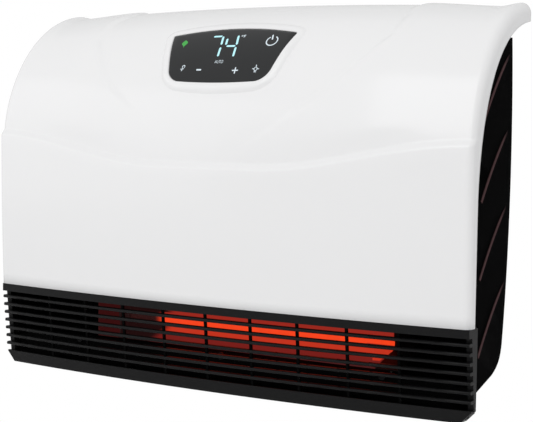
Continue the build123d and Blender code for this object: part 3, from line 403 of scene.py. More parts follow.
def wing_edge(height):
    """Distance from mid-width to the wing's edge at a height."""
    (lowest, start), end = WING_EDGE[0], WING_EDGE[-1][1]
    if height <= lowest:
        return start - (lowest - height) * WING_FOOT
    for (low, a), (high, b) in zip(WING_EDGE, WING_EDGE[1:]):
        if height <= high:
            part = (height - low) / (high - low)
            return blend(a, b, blend(part, smooth(part), WING_ROUND))
    return end


def wing_lift(cover, x, height, t):
    """How far the wing stands above the plain surface."""
    across = abs(x)
    inside = smooth((across - wing_edge(height)) / cover.wing_slope + 0.5)
    fade = 1 - smooth((across - cover.wing_crest) / (cover.wing_fade - cover.wing_crest))
    rise = blend(cover.wing_start, 1.0, smooth((across - cover.wing_tip) / cover.wing_swell))
    return cover.wing_rise * inside * fade * rise * smooth(t / cover.wing_foot)


def cover_point(cover, x, row, inset=0.0, wings=True):
    """Point of the outer surface. The row runs from 0 to 1 up the front, to 2 over the crease and
    to 3 up to the wall."""
    foot = front_depth(cover, x)
    depth = foot + cover.swell
    low = crease_low(cover, x)
    if row <= 1:
        spot = Vector((foot + cover.swell * (1 - (1 - row) ** 2), blend(cover.bottom, low, row)))
        out = Vector((low - cover.bottom, -2 * cover.swell * (1 - row))).normalized()
    elif row <= 2:
        part = row - 1
        spot = Vector((depth - cover.crease_step * smooth(part), low + cover.crease_run * part))
        out = Vector((1.0, 0.0))
    else:
        t = row - 2
        curve = roof_curve(cover, x)
        spot = bezier(curve, t)
        a, b, c, d = curve
        along = (b - a) * (1 - t) ** 2 + (c - b) * 2 * t * (1 - t) + (d - c) * t * t
        out = Vector((along.y, -along.x)).normalized()
        if wings:
            spot = spot + out * wing_lift(cover, x, spot.y, t)
    spot = spot - out * inset
    return Vector((x, -spot.x, spot.y + FOOT))

# Shares of the side's depth and rise at the two pulls of its curve, and how late its rows reach the wall
SIDE_PULLS = ((0.99, 0.30), (0.83, 0.93))

SIDE_EASE = 1.2


def side_curve(cover):
    """Control points of the side's back edge above its bend."""
    rise = cover.top - cover.lip - cover.side_bend
    pulls = [Vector((cover.side_depth * depth, cover.side_bend + rise * height))
             for depth, height in ((1.0, 0.0),) + SIDE_PULLS]
    return pulls + [Vector((0.0, cover.side_bend + rise))]


def side_edge(cover, row):
    """Point of the side's back edge, as depth and height, for the same rows."""
    height = cover_point(cover, cover.half_width, min(row, 2.0)).z - FOOT
    if height <= cover.side_bend:
        return Vector((cover.side_depth, height))
    curve = side_curve(cover)
    low = last_true(0.0, 1.0, lambda part: bezier(curve, part).y < height)
    return bezier(curve, low + (1 - low) * max(0.0, row - 2) ** SIDE_EASE)


# The display, on a plane that leans with the cover

def display_plane(cover, display):
    """Middle of the display and its direction upwards."""
    height = display.height + FOOT
    row = last_true(2.0, 3.0, lambda part: cover_point(cover, 0.0, part, wings=False).z < height)
    up = Vector((0.0, math.cos(display.tilt), math.sin(display.tilt)))
    return cover_point(cover, 0.0, row, wings=False), up


def on_display(cover, plane, u, v, rise):
    """Point above the cover at a place on the display's plane."""
    middle, up = plane
    row = last_true(2.0, 3.0, lambda part: (cover_point(cover, u, part, wings=False) - middle).dot(up) < v)
    return cover_point(cover, u, row, inset=-rise, wings=False)


def arched(display, u, v):
    """Plain lens height to the arched one."""
    part = (v + display.down) / (display.up + display.down)
    half = blend(display.low_half, display.top_half, part)
    across = 1 - min(1.0, abs(u) / half) ** 2
    return v + across * (display.arch * part - display.sag * (1 - part))


def lens_outline(display, grow):
    """Rounded outline of the lens, wider by grow, as places on its plane."""
    corners = [Vector(spot) for spot in (
        (display.low_left - display.low_half, -display.down), (display.low_half, -display.down),
        (display.top_half, display.up), (-display.top_half - display.top_left, display.up - display.tip))]
    rounds = ((display.corner, 12), (display.corner, 12), (display.tip, 5), (display.tip, 5))
    arcs = []
    befores, afters = corners[-1:] + corners, corners[1:] + corners[:1]
    for here, before, after, (radius, steps) in zip(corners, befores, afters, rounds):
        back, ahead = (before - here).normalized(), (after - here).normalized()
        half = back.angle(ahead) / 2
        middle = here + (back + ahead).normalized() * radius / math.sin(half)
        first = (here + back * radius / math.tan(half) - middle) * (1 + grow / radius)
        arcs.append([middle + Matrix.Rotation((math.pi - 2 * half) * k / steps, 2) @ first
                     for k in range(steps + 1)])
    spots = []
    for arc, next_arc in zip(arcs, arcs[1:] + arcs[:1]):
        spots += arc
        spots += [arc[-1].lerp(next_arc[0], k / 24) for k in range(1, 24)]
    return spots


# How much lower the rim is along the lens's upper edge, and the stretch over which it falls
RIM_FALL, RIM_FALL_START, RIM_FALL_WIDTH = 0.55, 0.2, 0.9


def ring_sheet(cover, display, rings):
    """Surface from rings round the lens, each given as its growth, its share of the outline and its
    height. A raised ring lies lower along the lens's upper edge."""
    plane = display_plane(cover, display)
    outlines = [lens_outline(display, grow) for grow, part, rise in rings]
    around, last = len(outlines[0]), len(rings) - 1
    bm = bmesh.new()
    bmesh.ops.create_grid(bm, x_segments=around, y_segments=last, size=1.0)
    for spot in bm.verts:
        level = round((spot.co.y + 1) / 2 * last)
        grow, part, rise = rings[level]
        u, v = outlines[level][round((spot.co.x + 1) / 2 * around) % around] * part
        if part == 1.0 and rise > 0:
            high = (v - display.up * RIM_FALL_START) / (display.up * RIM_FALL_WIDTH)
            rise = rise * (1 - RIM_FALL * smooth(high))
        spot.co = on_display(cover, plane, u, arched(display, u, v), rise)
    bmesh.ops.remove_doubles(bm, verts=bm.verts[:], dist=MERGE)
    face_out(bm, plane)
    return bm


def face_out(bm, plane):
    """Turns an open sheet on the display to face the room."""
    bmesh.ops.recalc_face_normals(bm, faces=bm.faces[:])
    out = Vector((0.0, -plane[1].z, plane[1].y))
    if sum(face.normal.dot(out) * face.calc_area() for face in bm.faces) < 0:
        bmesh.ops.reverse_faces(bm, faces=bm.faces[:])


def slice_flat(bm, step, half_u, half_v):
    """Cuts a flat shape into a grid so that it can follow a curved surface."""
    for across, half in ((Vector((1.0, 0.0, 0.0)), half_u), (Vector((0.0, 1.0, 0.0)), half_v)):
        count = int(half / step)
        for k in range(-count, count + 1):
            bmesh.ops.bisect_plane(bm, geom=bm.verts[:] + bm.edges[:] + bm.faces[:], dist=MERGE / 10,
                                   plane_co=across * k * step, plane_no=across)


# Operators

class HEATER_OT_cover(bpy.types.Operator):
    """Models the white cover with its bulge, crease, wings and rounded ends"""
    bl_idname = "heater.cover"
    bl_label = "Cover"

    FRONT_ROWS, CREASE_ROWS, ROOF_ROWS = 14, 12, 96
    FLAT_COLUMNS, ROUND_COLUMNS, SIDE_COLUMNS = 118, 8, 6
    WALL_GAP = 0.0003
    LAST_ROW = 0.998

    def execute(self, context):
        scene = context.scene
        cover = scene.heater_cover
        white = finish("White gloss", scene.heater_finish.white, 0.22, grain=420.0, depth=0.012, spread=0.05,
                       cloud=14.0, shift=0.006, Coat_Weight=0.3, Coat_Roughness=0.08)
        half = self.FLAT_COLUMNS + self.ROUND_COLUMNS + self.SIDE_COLUMNS
        rows = self.FRONT_ROWS + self.CREASE_ROWS + self.ROOF_ROWS
        bm = bmesh.new()
        bmesh.ops.create_grid(bm, x_segments=2 * half, y_segments=rows, size=1.0)
        for spot in bm.verts:
            column = round(abs(spot.co.x) * half)
            row = self.surface_row(round((spot.co.y + 1) / 2 * rows))
            spot.co = self.place(cover, -1 if spot.co.x < 0 else 1, column, row)
        shell = put_in_scene("cover_shell", bm, "heater", white)
        wall = shell.modifiers.new("Wall", "SOLIDIFY")
        wall.thickness = cover.wall
        wall.offset = -1.0
        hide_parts("front_cover")
        return {"FINISHED"}

    def surface_row(self, level):
        """Row on the cover's surface for a row of the grid."""
        if level <= self.FRONT_ROWS:
            return level / self.FRONT_ROWS
        level -= self.FRONT_ROWS
        if level <= self.CREASE_ROWS:
            return 1 + level / self.CREASE_ROWS
        return 2 + self.LAST_ROW * (level - self.CREASE_ROWS) / self.ROOF_ROWS

    def place(self, cover, sign, column, row):
        """Point of the front, of its rounded end or of the side behind it, on the side given by sign."""
        edge = blend(cover.low_edge, cover.high_edge, max(0.0, row - 2))
        flat = cover.half_width - edge
        if column <= self.FLAT_COLUMNS:
            return cover_point(cover, sign * flat * column / self.FLAT_COLUMNS, row)
        turned = column - self.FLAT_COLUMNS
        turn = math.pi / 2 * min(1.0, turned / self.ROUND_COLUMNS)
        x = sign * (flat + edge * math.sin(turn))
        spot = cover_point(cover, x, row, inset=edge * (1 - math.cos(turn)))
        spot.y = min(spot.y, -self.WALL_GAP)
        if turned <= self.ROUND_COLUMNS:
            return spot
        depth, height = side_edge(cover, row)
        part = (turned - self.ROUND_COLUMNS) / self.SIDE_COLUMNS
        return spot.lerp(Vector((x, -depth, height + FOOT)), part)


class HEATER_OT_lens(bpy.types.Operator):
    """Models the smoked lens and the raised rim round it"""
    bl_idname = "heater.lens"
    bl_label = "Display lens"

    LENS_EDGE = ((0.0, -0.0004), (-0.0001, -0.0001), (-0.0004, 0.0))
    LENS_SHARES = (0.97, 0.9, 0.8, 0.7, 0.6, 0.5, 0.4, 0.3, 0.2, 0.1, 0.0)
    LENS_FOOT = -0.0012
    RIM = ((0.0002, -0.0006), (0.0003, 0.0012), (0.0006, 0.0017), (0.0012, 0.0021), (0.0022, 0.0023),
           (0.0036, 0.0023), (0.0050, 0.0020), (0.0062, 0.0014), (0.0074, 0.0006), (0.0086, -0.0002))

    def execute(self, context):
        scene = context.scene
        cover, display = scene.heater_cover, scene.heater_display
        smoke = finish("Smoked lens", scene.heater_finish.smoke, 0.16, grain=300.0, depth=0.004, spread=0.03,
                       cloud=20.0, shift=0.03, Specular_IOR_Level=0.2)
        top = display.lens_rise
        rings = [(0.0, 1.0, self.LENS_FOOT)] + [(grow, 1.0, top + rise) for grow, rise in self.LENS_EDGE]
        rings += [(self.LENS_EDGE[-1][0], part, top) for part in self.LENS_SHARES]
        lens = put_in_scene("lens_pane", ring_sheet(cover, display, rings), "heater", smoke)
        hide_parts("display_lens")
        rim = ring_sheet(cover, display, [(grow, 1.0, rise) for grow, rise in self.RIM])
        put_in_scene("lens_rim", rim, "heater", bpy.data.materials["White gloss"])
        return {"FINISHED"}


def bar(bm, start, end, width, point=0.5):
    """Flat stroke between two places in millimetres, with pointed ends."""
    a, b = Vector(start) * MM, Vector(end) * MM
    along = (b - a).normalized()
    across = Vector((-along.y, along.x)) * width * MM / 2
    tip = along * width * MM * point
    spots = (a, a + tip + across, b - tip + across, b, b - tip - across, a + tip - across)
    bm.faces.new([bm.verts.new((spot.x, spot.y, 0.0)) for spot in spots])


def ring(bm, centre, outer, inner, start, sweep, steps):
    """Flat open ring in millimetres and degrees, from a short stroke turned about its middle."""
    middle = Vector((centre[0], centre[1], 0.0)) * MM
    arm = Vector((math.cos(math.radians(start)), math.sin(math.radians(start)), 0.0)) * MM
    low = bm.verts.new(middle + arm * inner)
    high = bm.verts.new(middle + arm * outer)
    edge = bm.edges.new((low, high))
    bmesh.ops.spin(bm, geom=[low, high, edge], cent=middle, axis=(0.0, 0.0, 1.0),
                   angle=math.radians(sweep), steps=steps, use_merge=False)


class HEATER_OT_signs(bpy.types.Operator):
    """Draws the lit digits and signs on the lens"""
    bl_idname = "heater.signs"
    bl_label = "Digits and signs"

    SLICE, REACH = 0.003, (0.06, 0.03)

    def place(self, name, bm, material):
        """Lays a flat drawing on the lens."""
        scene = bpy.context.scene
        cover, display = scene.heater_cover, scene.heater_display
        plane = display_plane(cover, display)
        slice_flat(bm, self.SLICE, *self.REACH)
        for spot in bm.verts:
            u, v = spot.co.x + display.signs_right, spot.co.y - display.signs_down
            spot.co = on_display(cover, plane, u, v, display.lens_rise + display.sign_gap)
        face_out(bm, plane)
        put_in_scene(name, bm, "heater", material)

    def execute(self, context):
        display = context.scene.heater_display
        self.digits(lit_sign("Lit digits", display.digits, 1.0))
        pale = lit_sign("Lit signs", display.signs, 0.82)
        self.keys(pale)
        self.marks(pale)
        self.leaf(lit_sign("Lit leaf", display.leaf, 0.9))
        self.word(context, pale)
        return {"FINISHED"}

    def digits(self, material):
        """The two large digits."""
        strokes = bmesh.new()
        for start, end in (((-20.1, 24.2), (-10.9, 24.5)), ((-9.9, 24.4), (-7.4, 14.2)),
                           ((-6.8, 11.6), (-5.6, 1.4)), ((-4.3, 21.6), (-2.6, 14.0)),
                           ((-1.6, 12.7), (7.8, 12.7)), ((5.4, 25.2), (8.4, 13.9)),
                           ((8.7, 11.6), (10.1, 1.2))):
            bar(strokes, start, end, 2.0)
        self.place("display_digits", strokes, material)

    def keys(self, material):
        """The power, minus and plus signs."""
        signs = bmesh.new()
        ring(signs, (41.8, 18.2), 5.7, 4.6, 125, 300, 36)
        for start, end, width in (((39.8, 25.4), (41.5, 19.4), 1.3), ((-22.8, -11.7), (-17.5, -11.8), 1.5),
                                  ((14.0, -12.6), (20.2, -12.4), 1.1), ((16.9, -9.4), (17.4, -15.7), 1.1)):
            bar(signs, start, end, width, 0.3)
        self.place("display_signs", signs, material)

    def marks(self, material):
        """The degree sign and the two small function signs."""
        small = bmesh.new()
        ring(small, (9.4, 24.6), 0.9, 0.4, 0, 330, 12)
        for start, end, width in (((11.0, 25.4), (12.9, 25.3), 0.7), ((11.2, 25.4), (11.7, 22.6), 0.7),
                                  ((11.4, 24.1), (12.7, 24.0), 0.6),
                                  ((-37.7, -9.8), (-38.3, -12.8), 0.8), ((-39.9, -10.9), (-36.2, -10.4), 0.7),
                                  ((36.7, -7.0), (37.0, -9.3), 0.8), ((35.9, -13.8), (38.3, -13.8), 0.8),
                                  ((33.6, -10.9), (35.1, -11.0), 0.7), ((38.9, -11.0), (40.5, -10.9), 0.7)):
            bar(small, start, end, width, 0.2)
        ring(small, (-37.3, -8.3), 1.6, 0.9, -60, 300, 14)
        ring(small, (37.0, -11.1), 1.9, 1.2, 100, 340, 16)
        self.place("display_marks", small, material)

    def leaf(self, material):
        """The green saving sign: a circle drawn out to two tips, and its stalk."""
        radius, middle = 3.0 * MM, Vector((-47.3, 17.2, 0.0)) * MM
        leaf = bmesh.new()
        bmesh.ops.create_circle(leaf, cap_ends=True, segments=24, radius=radius)
        for spot in leaf.verts:
            width = 1 - 0.8 * abs(spot.co.y / radius) ** 1.7
            shape = Vector((spot.co.x * width, spot.co.y * 1.25, 0.0))
            spot.co = Matrix.Rotation(math.radians(10), 3, "Z") @ shape + middle
        bar(leaf, (-46.7, 12.4), (-47.0, 15.5), 0.7, 0.2)
        self.place("display_leaf", leaf, material)

    def word(self, context, material):
        """The word for the automatic mode."""
        left, foot, width, height = -6.4, -5.4, 8.4, 3.1
        words = bpy.data.curves.new("mode word", "FONT")
        words.body = "AUTO"
        holder = bpy.data.objects.new("mode word", words)
        context.scene.collection.objects.link(holder)
        context.view_layer.update()
        flat = bpy.data.meshes.new_from_object(holder)
        bpy.data.objects.remove(holder)
        word = bmesh.new()
        word.from_mesh(flat)
        bpy.data.meshes.remove(flat)
        wide = max(spot.co.x for spot in word.verts)
        tall = max(spot.co.y for spot in word.verts)
        for spot in word.verts:
            spot.co = Vector((left + width * spot.co.x / wide, foot + height * spot.co.y / tall, 0.0)) * MM
        self.place("display_word", word, material)


class HEATER_OT_grille(bpy.types.Operator):
    """Models the outlet grille with shallow slats and cut lower corners"""
    bl_idname = "heater.grille"
    bl_label = "Outlet grille"

    CORNER_BLOCK, CORNER_DEPTH, CORNER_MIDDLE = 0.03, 0.14, 0.06

    def execute(self, context):
        scene = context.scene
        cover, grille = scene.heater_cover, scene.heater_grille
        bm = copied_node("outlet_grille")
        body = put_in_scene("slat_grille", bm, "heater", bpy.data.materials["Black plastic"])
        self.cut(context, body, self.slab(cover, grille, grille.low_band, grille.wall_top, grille.wall_front))
        self.cut(context, body, self.slab(cover, grille, grille.wall_top, grille.top_band, grille.duct_front))
        self.cut(context, body, self.corner_blocks(grille))
        body.data.shade_smooth()
        body.data.set_sharp_from_angle(angle=math.radians(18))
        body.data.materials.append(bpy.data.materials["Black body"])
        # The ribs and the faces deep inside the opening take the darker, duller body black as painted shade
        for face in body.data.polygons:
            if abs(face.center.x) < grille.inner_half:
                spots = [body.data.vertices[i].co.x for i in face.vertices]
                if max(spots) - min(spots) < grille.rib or face.center.y > -grille.shaded_depth:
                    face.material_index = 1
        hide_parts("outlet_grille")
        return {"FINISHED"}

    def cut(self, context, body, block):
        """Takes a block out of a piece."""
        mesh = bpy.data.meshes.new("cut")
        block.to_mesh(mesh)
        block.free()
        cutter = bpy.data.objects.new("cut", mesh)
        context.scene.collection.objects.link(cutter)
        taken = body.modifiers.new("Cut", "BOOLEAN")
        taken.operation = "DIFFERENCE"
        taken.solver = "EXACT"
        taken.object = cutter
        context.view_layer.update()
        shaped = bpy.data.meshes.new_from_object(body.evaluated_get(context.evaluated_depsgraph_get()))
        body.modifiers.remove(taken)
        bpy.data.objects.remove(cutter)
        body.data = shaped

    def slab(self, cover, grille, low, high, back):
        """Curved block behind the backs of the slats, between two heights."""
        bm = bmesh.new()
        bmesh.ops.create_cube(bm, size=2.0)
        along = [edge for edge in bm.edges if abs(edge.verts[0].co.x - edge.verts[1].co.x) > 1]
        bmesh.ops.subdivide_edges(bm, edges=along, cuts=80)
        for spot in bm.verts:
            x = spot.co.x * grille.inner_half
            z = low if spot.co.z < 0 else high
            front = (cover.end_depth + cover.bulge * (1 - (x / grille.half_width) ** 2)
                     - grille.lean * (grille.height - z) - grille.slat_depth)
            spot.co = Vector((x, -front if spot.co.y < 0 else -back, z + FOOT))
        return bm

    def corner_blocks(self, grille):
        """Two turned blocks at the lower corners."""
        bm = bmesh.new()
        reach = self.CORNER_BLOCK / math.sqrt(8) - grille.corner / 2
        size = Matrix.Diagonal((self.CORNER_BLOCK, self.CORNER_DEPTH, self.CORNER_BLOCK, 1.0))
        for side in (-1, 1):
            middle = Vector((side * (grille.half_width + reach), -self.CORNER_MIDDLE, FOOT - reach))
            turn = Matrix.Translation(middle) @ Matrix.Rotation(math.pi / 4, 4, "Y")
            bmesh.ops.create_cube(bm, size=1.0, matrix=turn @ size)
        return bm


def copied_node(name):
    """A CAD node's mesh as a merged bmesh."""
    bm = bmesh.new()
    bm.from_mesh(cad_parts[name].data)
    bmesh.ops.remove_doubles(bm, verts=bm.verts[:], dist=MERGE)
    return bm


def ridge_foot(tones):
    """Distance of the side panels' plain face from mid-width."""
    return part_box("side_panel_right")[1].x - tones.ridge_height


class HEATER_OT_panels(bpy.types.Operator):
    """Models the two side panels, whose ridges sink into the back edge"""
    bl_idname = "heater.panels"
    bl_label = "Side panels"

    SUNK_DEPTH, FADE_WIDTH, KEPT_HEIGHT = 0.030, 0.022, 0.7

    def execute(self, context):
        plain = ridge_foot(context.scene.heater_finish)
        black = bpy.data.materials["Black side panel"]
        for side in ("right", "left"):
            node = "side_panel_" + side
            bm = copied_node(node)
            for spot in bm.verts:
                proud = abs(spot.co.x) - plain
                if proud > RIDGE_START:
                    keep = smooth((-spot.co.y - self.SUNK_DEPTH) / self.FADE_WIDTH) * self.KEPT_HEIGHT
                    spot.co.x = math.copysign(plain + proud * keep, spot.co.x)
            panel = put_in_scene("ridge_panel_" + side, bm, "heater", black, angle=8)
            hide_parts(node)
        return {"FINISHED"}


class HEATER_OT_finishes(bpy.types.Operator):
    """Gives each carried CAD node its finish"""
    bl_idname = "heater.finishes"
    bl_label = "Finishes"

    def execute(self, context):
        tones = context.scene.heater_finish
        dull = {"depth": 0.10}
        finishes = (
            ("Black plastic", tones.black, 0.42, {"grain": 1500.0, "depth": 0.05, "Specular_IOR_Level": 0.17},
             ("filter_frame", "terminal_block", "relays", "display_module", "thermal_fuse",
              "temperature_probe", "grille_screws")),
            ("Black body", tones.body, 0.55, {**dull, "Specular_IOR_Level": 0.03},
             ("rear_housing", "cord_gland", "blower_scroll")),
            ("Black side panel", tones.body, 0.55, {**dull, "Specular_IOR_Level": 0.004}, ()),
            ("Plated steel", tones.steel, 0.34, {"grain": 700.0, "Metallic": 1.0},
             ("wall_bracket", "housing_screws", "blower_shaft", "motor_bracket", "heat_sink",
              "thermal_cutout")),
            ("Dark steel", (0.03, 0.03, 0.03), 0.5,
             {"grain": 700.0, "depth": 0.03, "Specular_IOR_Level": 0.1}, ("blower_motor", "transformer")),
            ("Rubber", (0.018, 0.018, 0.018), 0.8, {"grain": 1200.0, "depth": 0.08},
             ("wall_bumpers", "bearing_grommet")),
            ("Circuit board", tones.board, 0.35, {"grain": 400.0}, ("touch_board", "power_board")),
            ("Filter net", (0.06, 0.06, 0.06), 0.7, {"grain": 1400.0, "depth": 0.05}, ("filter_mesh",)),
            ("Terminal green", (0.03, 0.22, 0.07), 0.45, {"depth": 0.03}, ("filter_capacitor",)),
            ("Wheel alloy", (0.45, 0.45, 0.46), 0.4, {"grain": 600.0, "depth": 0.03, "Metallic": 0.9},
             ("blower_wheel",)),
            ("Bronze", (0.38, 0.24, 0.11), 0.35, {"grain": 600.0, "Metallic": 1.0}, ("shaft_bearing",)),
        )
        for name, tint, roughness, traits, nodes in finishes:
            material = finish(name, tint, roughness, **traits)
            for node in nodes:
                dress(node, material)
        self.paint_ridge_highlights(bpy.data.materials["Black side panel"], tones)
        return {"FINISHED"}

    def paint_ridge_highlights(self, material, tones):
        """Paints a highlight on what stands proud of a side panel, as a lighter tone."""
        tree = material.node_tree
        parts = object_place(tree)[1]
        across = add_node(tree, "Math", operation="ABSOLUTE")
        tree.links.new(parts["X"], across.inputs[0])
        plain = ridge_foot(tones)
        proud = add_node(tree, "MapRange", {"From Min": plain + RIDGE_START, "From Max": plain + RIDGE_FULL_HIGHLIGHT})
        tree.links.new(across.outputs[0], proud.inputs["Value"])
        base = tree.nodes["Principled BSDF"].inputs["Base Color"]
        tree.links.new(mixed(tree, proud.outputs[0], base.links[0].from_socket, tones.ridge), base)


def dress(name, material):
    """Gives a CAD node a material in all its slots."""
    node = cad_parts[name]
    if not node.material_slots:
        node.data.materials.append(material)
    for place in node.material_slots:
        place.material = material


class HEATER_OT_glow(bpy.types.Operator):
    """Lights the heating tubes and paints their glow onto the sheet and holders round them"""
    bl_idname = "heater.glow"
    bl_label = "Glow"

    def execute(self, context):
        group = heat_group(context.scene.heater_glow)
        sheet, quartz = (0.01, 0.006, 0.006), (0.06, 0.01, 0.008)
        # The sheet and the holders get painted light, the glow of the tubes on them; only the quartz tubes
        # and their coils glow
        for name, base, output, dressed in (
                ("Painted glow sheet", sheet, "Sheet", ("heat_duct", "heat_reflector")),
                ("Painted glow holder", sheet, "Holder", ("tube_holders", "ceramic_caps")),
                ("Hot quartz", quartz, "Tube", ("quartz_tubes", "heating_coils"))):
            hot = finish(name, base, 0.5, grain=500.0, depth=0.03, Specular_IOR_Level=0.1,
                         Emission_Strength=1.0)
            heat = add_node(hot.node_tree, "Group", node_tree=group)
            glowing = hot.node_tree.nodes["Principled BSDF"].inputs["Emission Color"]
            hot.node_tree.links.new(heat.outputs[output], glowing)
            for node in dressed:
                dress(node, hot)
        return {"FINISHED"}


def heat_group(glow):
    """Node group: painted light of the sheet by its height, painted light of the holders by their height
    along the view line through the slats, and the tubes' own glow by their depth and height. Heights are
    above the foot."""
    tree = bpy.data.node_groups.new("Heat", "ShaderNodeTree")
    for name in ("Sheet", "Holder", "Tube"):
        tree.interface.new_socket(name=name, in_out="OUTPUT", socket_type="NodeSocketColor")
    sharp, soft, black = 0.5 * MM, 10 * MM, (0.0, 0.0, 0.0, 1.0)

    def between(source, low, high):
        """Soft step of a value."""
        step = add_node(tree, "MapRange", {"From Min": low, "From Max": high},
                        interpolation_type="SMOOTHSTEP")
        tree.links.new(source, step.inputs["Value"])
        return step.outputs[0]

    def layers(source, lift, tone, *heights):
        """Colours by height, from the lowest one up."""
        for height, above in heights:
            edge = FOOT + height - lift
            tone = mixed(tree, between(source, edge - sharp, edge + sharp), tone, above)
        return tone

    def faded(start, width, before, after):
        """Colour that changes from the left to the right over a width."""
        return mixed(tree, between(across, start, start + width), before, after)

    place, parts = object_place(tree)
    across, depth, height = parts["X"], parts["Y"], parts["Z"]
    leaning = add_node(tree, "Math", {1: glow.view_lean}, operation="MULTIPLY_ADD")
    tree.links.new(depth, leaning.inputs[0])
    tree.links.new(height, leaning.inputs[2])
    streaks = add_node(tree, "TexNoise", {"Scale": 90.0, "Detail": 3.0})
    tree.links.new(place, streaks.inputs["Vector"])
    uneven = mixed(tree, streaks.outputs["Fac"], toned(glow.hot, 0.8), glow.hot)

    # Painted glow of the tubes on the duct sheet, in bands by height, dark beyond its ends
    sheet = layers(height, 0.0, glow.faint, (0.0328, glow.low_red), (0.0370, glow.warm), (0.0445, glow.red))
    sheet = faded(glow.sheet_left, glow.fade, glow.dim, sheet)
    sheet = faded(glow.right, 2 * sharp, faded(glow.side, 2 * sharp, glow.deep, sheet), black)
    # Painted glow of the tubes on the holders, brightest at the tubes' height
    holder = layers(leaning.outputs[0], glow.view_lean * glow.holder, glow.faint, (0.0300, glow.low_red),
                    (0.0370, glow.warm), (0.0508, uneven), (0.0545, glow.red))
    holder = faded(0.0, soft, glow.dim, holder)
    tube = layers(height, 0.0, uneven, (0.0542, glow.red))
    tube = mixed(tree, between(depth, sharp - glow.rear, -sharp - glow.rear), glow.warm, tube)
    tube = faded(glow.tube_left, glow.fade, glow.dim, tube)
    result = tree.nodes.new("NodeGroupOutput").inputs
    for name, tone in (("Sheet", sheet), ("Holder", holder), ("Tube", tube)):
        tree.links.new(tone, result[name])
    return tree


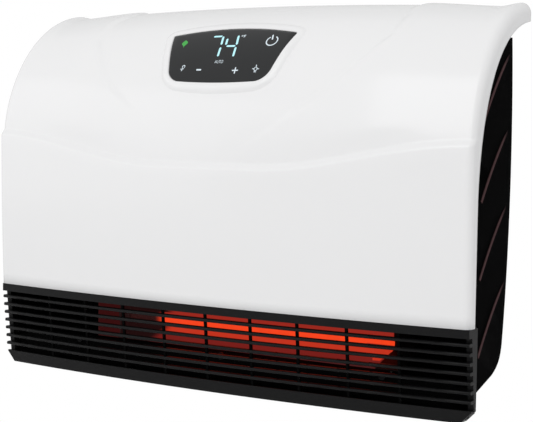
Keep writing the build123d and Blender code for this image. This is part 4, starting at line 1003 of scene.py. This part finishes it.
class HEATER_OT_studio(bpy.types.Operator):
    """Sets up the pale floor and wall, the lamps and the camera"""
    bl_idname = "heater.studio"
    bl_label = "Studio"

    PAPER_LINE = ((-6.0, -1.2), (1.2, -1.2), (2.4, -0.4), (2.6, 5.0))
    PAPER_HALF, PAPER_BEND = 6.0, 0.8

    def execute(self, context):
        scene = context.scene
        studio = scene.heater_studio
        self.backdrop(scene)
        self.world(scene, studio)
        self.lamp(scene, "Key lamp", (0.15, -1.6, 1.0), (0.0, -0.05, -0.05), 1.6, studio.key)
        self.lamp(scene, "Fill lamp", (-1.5, -1.2, 0.4), (0.0, -0.05, -0.1), 1.4, studio.fill)
        self.camera(scene, studio)
        scene.view_settings.view_transform = "Standard"
        return {"FINISHED"}

    def paper(self):
        """Pale paper, plain white where the camera sees it."""
        paper, shader = start_material("Studio paper")
        tree = paper.node_tree
        shader.inputs["Base Color"].default_value = (0.86, 0.86, 0.86, 1.0)
        shader.inputs["Roughness"].default_value = 0.9
        path = tree.nodes.new("ShaderNodeLightPath").outputs
        seen = add_node(tree, "Math", operation="MAXIMUM")
        plain = add_node(tree, "Emission", {"Color": (1.0, 1.0, 1.0, 1.0)})
        mix = add_node(tree, "MixShader")
        for start, end in ((path["Is Camera Ray"], seen.inputs[0]),
                           (path["Is Transmission Ray"], seen.inputs[1]),
                           (seen.outputs[0], mix.inputs[0]), (shader.outputs[0], mix.inputs[1]),
                           (plain.outputs[0], mix.inputs[2]),
                           (mix.outputs[0], tree.nodes["Material Output"].inputs["Surface"])):
            tree.links.new(start, end)
        return paper

    def backdrop(self, scene):
        """Pale floor under the heater, bent up into a far wall."""
        bm = bmesh.new()
        profile = [bm.verts.new((-self.PAPER_HALF, y, z)) for y, z in self.PAPER_LINE]
        for low, high in zip(profile, profile[1:]):
            bm.edges.new((low, high))
        bmesh.ops.bevel(bm, geom=profile[1:3], offset=self.PAPER_BEND, affect="VERTICES", segments=8,
                        profile=0.5, material=-1)
        out = bmesh.ops.extrude_edge_only(bm, edges=bm.edges[:])["geom"]
        bmesh.ops.translate(bm, verts=[part for part in out if isinstance(part, bmesh.types.BMVert)],
                            vec=(2 * self.PAPER_HALF, 0.0, 0.0))
        bmesh.ops.recalc_face_normals(bm, faces=bm.faces[:])
        mesh = bpy.data.meshes.new("backdrop")
        bm.to_mesh(mesh)
        bm.free()
        mesh.shade_smooth()
        mesh.materials.append(self.paper())
        sheet = bpy.data.objects.new("backdrop", mesh)
        scene.collection.objects.link(sheet)

    def world(self, scene, studio):
        """Plain white room light."""
        scene.world = bpy.data.worlds.new("Room")
        scene.world.use_nodes = True
        back = scene.world.node_tree.nodes["Background"]
        back.inputs["Color"].default_value = (1.0, 1.0, 1.0, 1.0)
        back.inputs["Strength"].default_value = studio.world

    def lamp(self, scene, name, place, aim, size, power):
        """Square soft lamp that looks at a place."""
        light = bpy.data.lights.new(name, "AREA")
        light.shape = "SQUARE"
        light.size = size
        light.energy = power
        lamp = bpy.data.objects.new(name, light)
        lamp.location = place
        lamp.rotation_euler = (Vector(aim) - Vector(place)).to_track_quat("-Z", "Y").to_euler()
        scene.collection.objects.link(lamp)

    def camera(self, scene, studio):
        """Camera at the photograph's place and angle."""
        data = bpy.data.cameras.new("Camera")
        data.lens = studio.lens
        data.sensor_width = 36.0
        data.clip_start = 0.01
        camera = bpy.data.objects.new("Camera", data)
        camera.matrix_world = (Matrix.Translation(studio.camera_place) @ Matrix.Rotation(studio.yaw, 4, "Z")
                               @ Matrix.Rotation(math.pi / 2 - studio.pitch, 4, "X")
                               @ Matrix.Rotation(studio.roll, 4, "Z"))
        scene.collection.objects.link(camera)
        scene.camera = camera


class HEATER_PT_panel(bpy.types.Panel):
    """Lists the heater's pieces and their sizes"""
    bl_idname = "HEATER_PT_panel"
    bl_label = "Infrared wall heater"
    bl_space_type = "VIEW_3D"
    bl_region_type = "UI"
    bl_category = "Heater"

    def draw(self, context):
        layout = self.layout
        for operator in PIECES:
            layout.operator(operator.bl_idname)
        for name, kind in SETTINGS:
            box = layout.box()
            box.label(text=kind.__doc__)
            group = getattr(context.scene, name)
            for key in kind.__annotations__:
                box.prop(group, key)


SETTINGS = (("heater_cover", CoverSettings), ("heater_grille", GrilleSettings),
            ("heater_display", DisplaySettings), ("heater_glow", GlowSettings),
            ("heater_finish", FinishSettings), ("heater_studio", StudioSettings))
PIECES = (HEATER_OT_finishes, HEATER_OT_cover, HEATER_OT_lens, HEATER_OT_signs, HEATER_OT_grille,
          HEATER_OT_panels, HEATER_OT_glow, HEATER_OT_studio)


def register():
    """Adds the settings, the operators and the panel."""
    for name, kind in SETTINGS:
        bpy.utils.register_class(kind)
        setattr(bpy.types.Scene, name, bpy.props.PointerProperty(type=kind))
    for kind in PIECES + (HEATER_PT_panel,):
        bpy.utils.register_class(kind)


def unregister():
    """Takes them away again."""
    for kind in (HEATER_PT_panel,) + PIECES[::-1]:
        bpy.utils.unregister_class(kind)
    for name, kind in SETTINGS[::-1]:
        delattr(bpy.types.Scene, name)
        bpy.utils.unregister_class(kind)


def main():
    """Builds the dressed heater."""
    register()
    for operator in PIECES:
        family, name = operator.bl_idname.split(".")
        getattr(getattr(bpy.ops, family), name)()


if __name__ == "__main__":
    main()
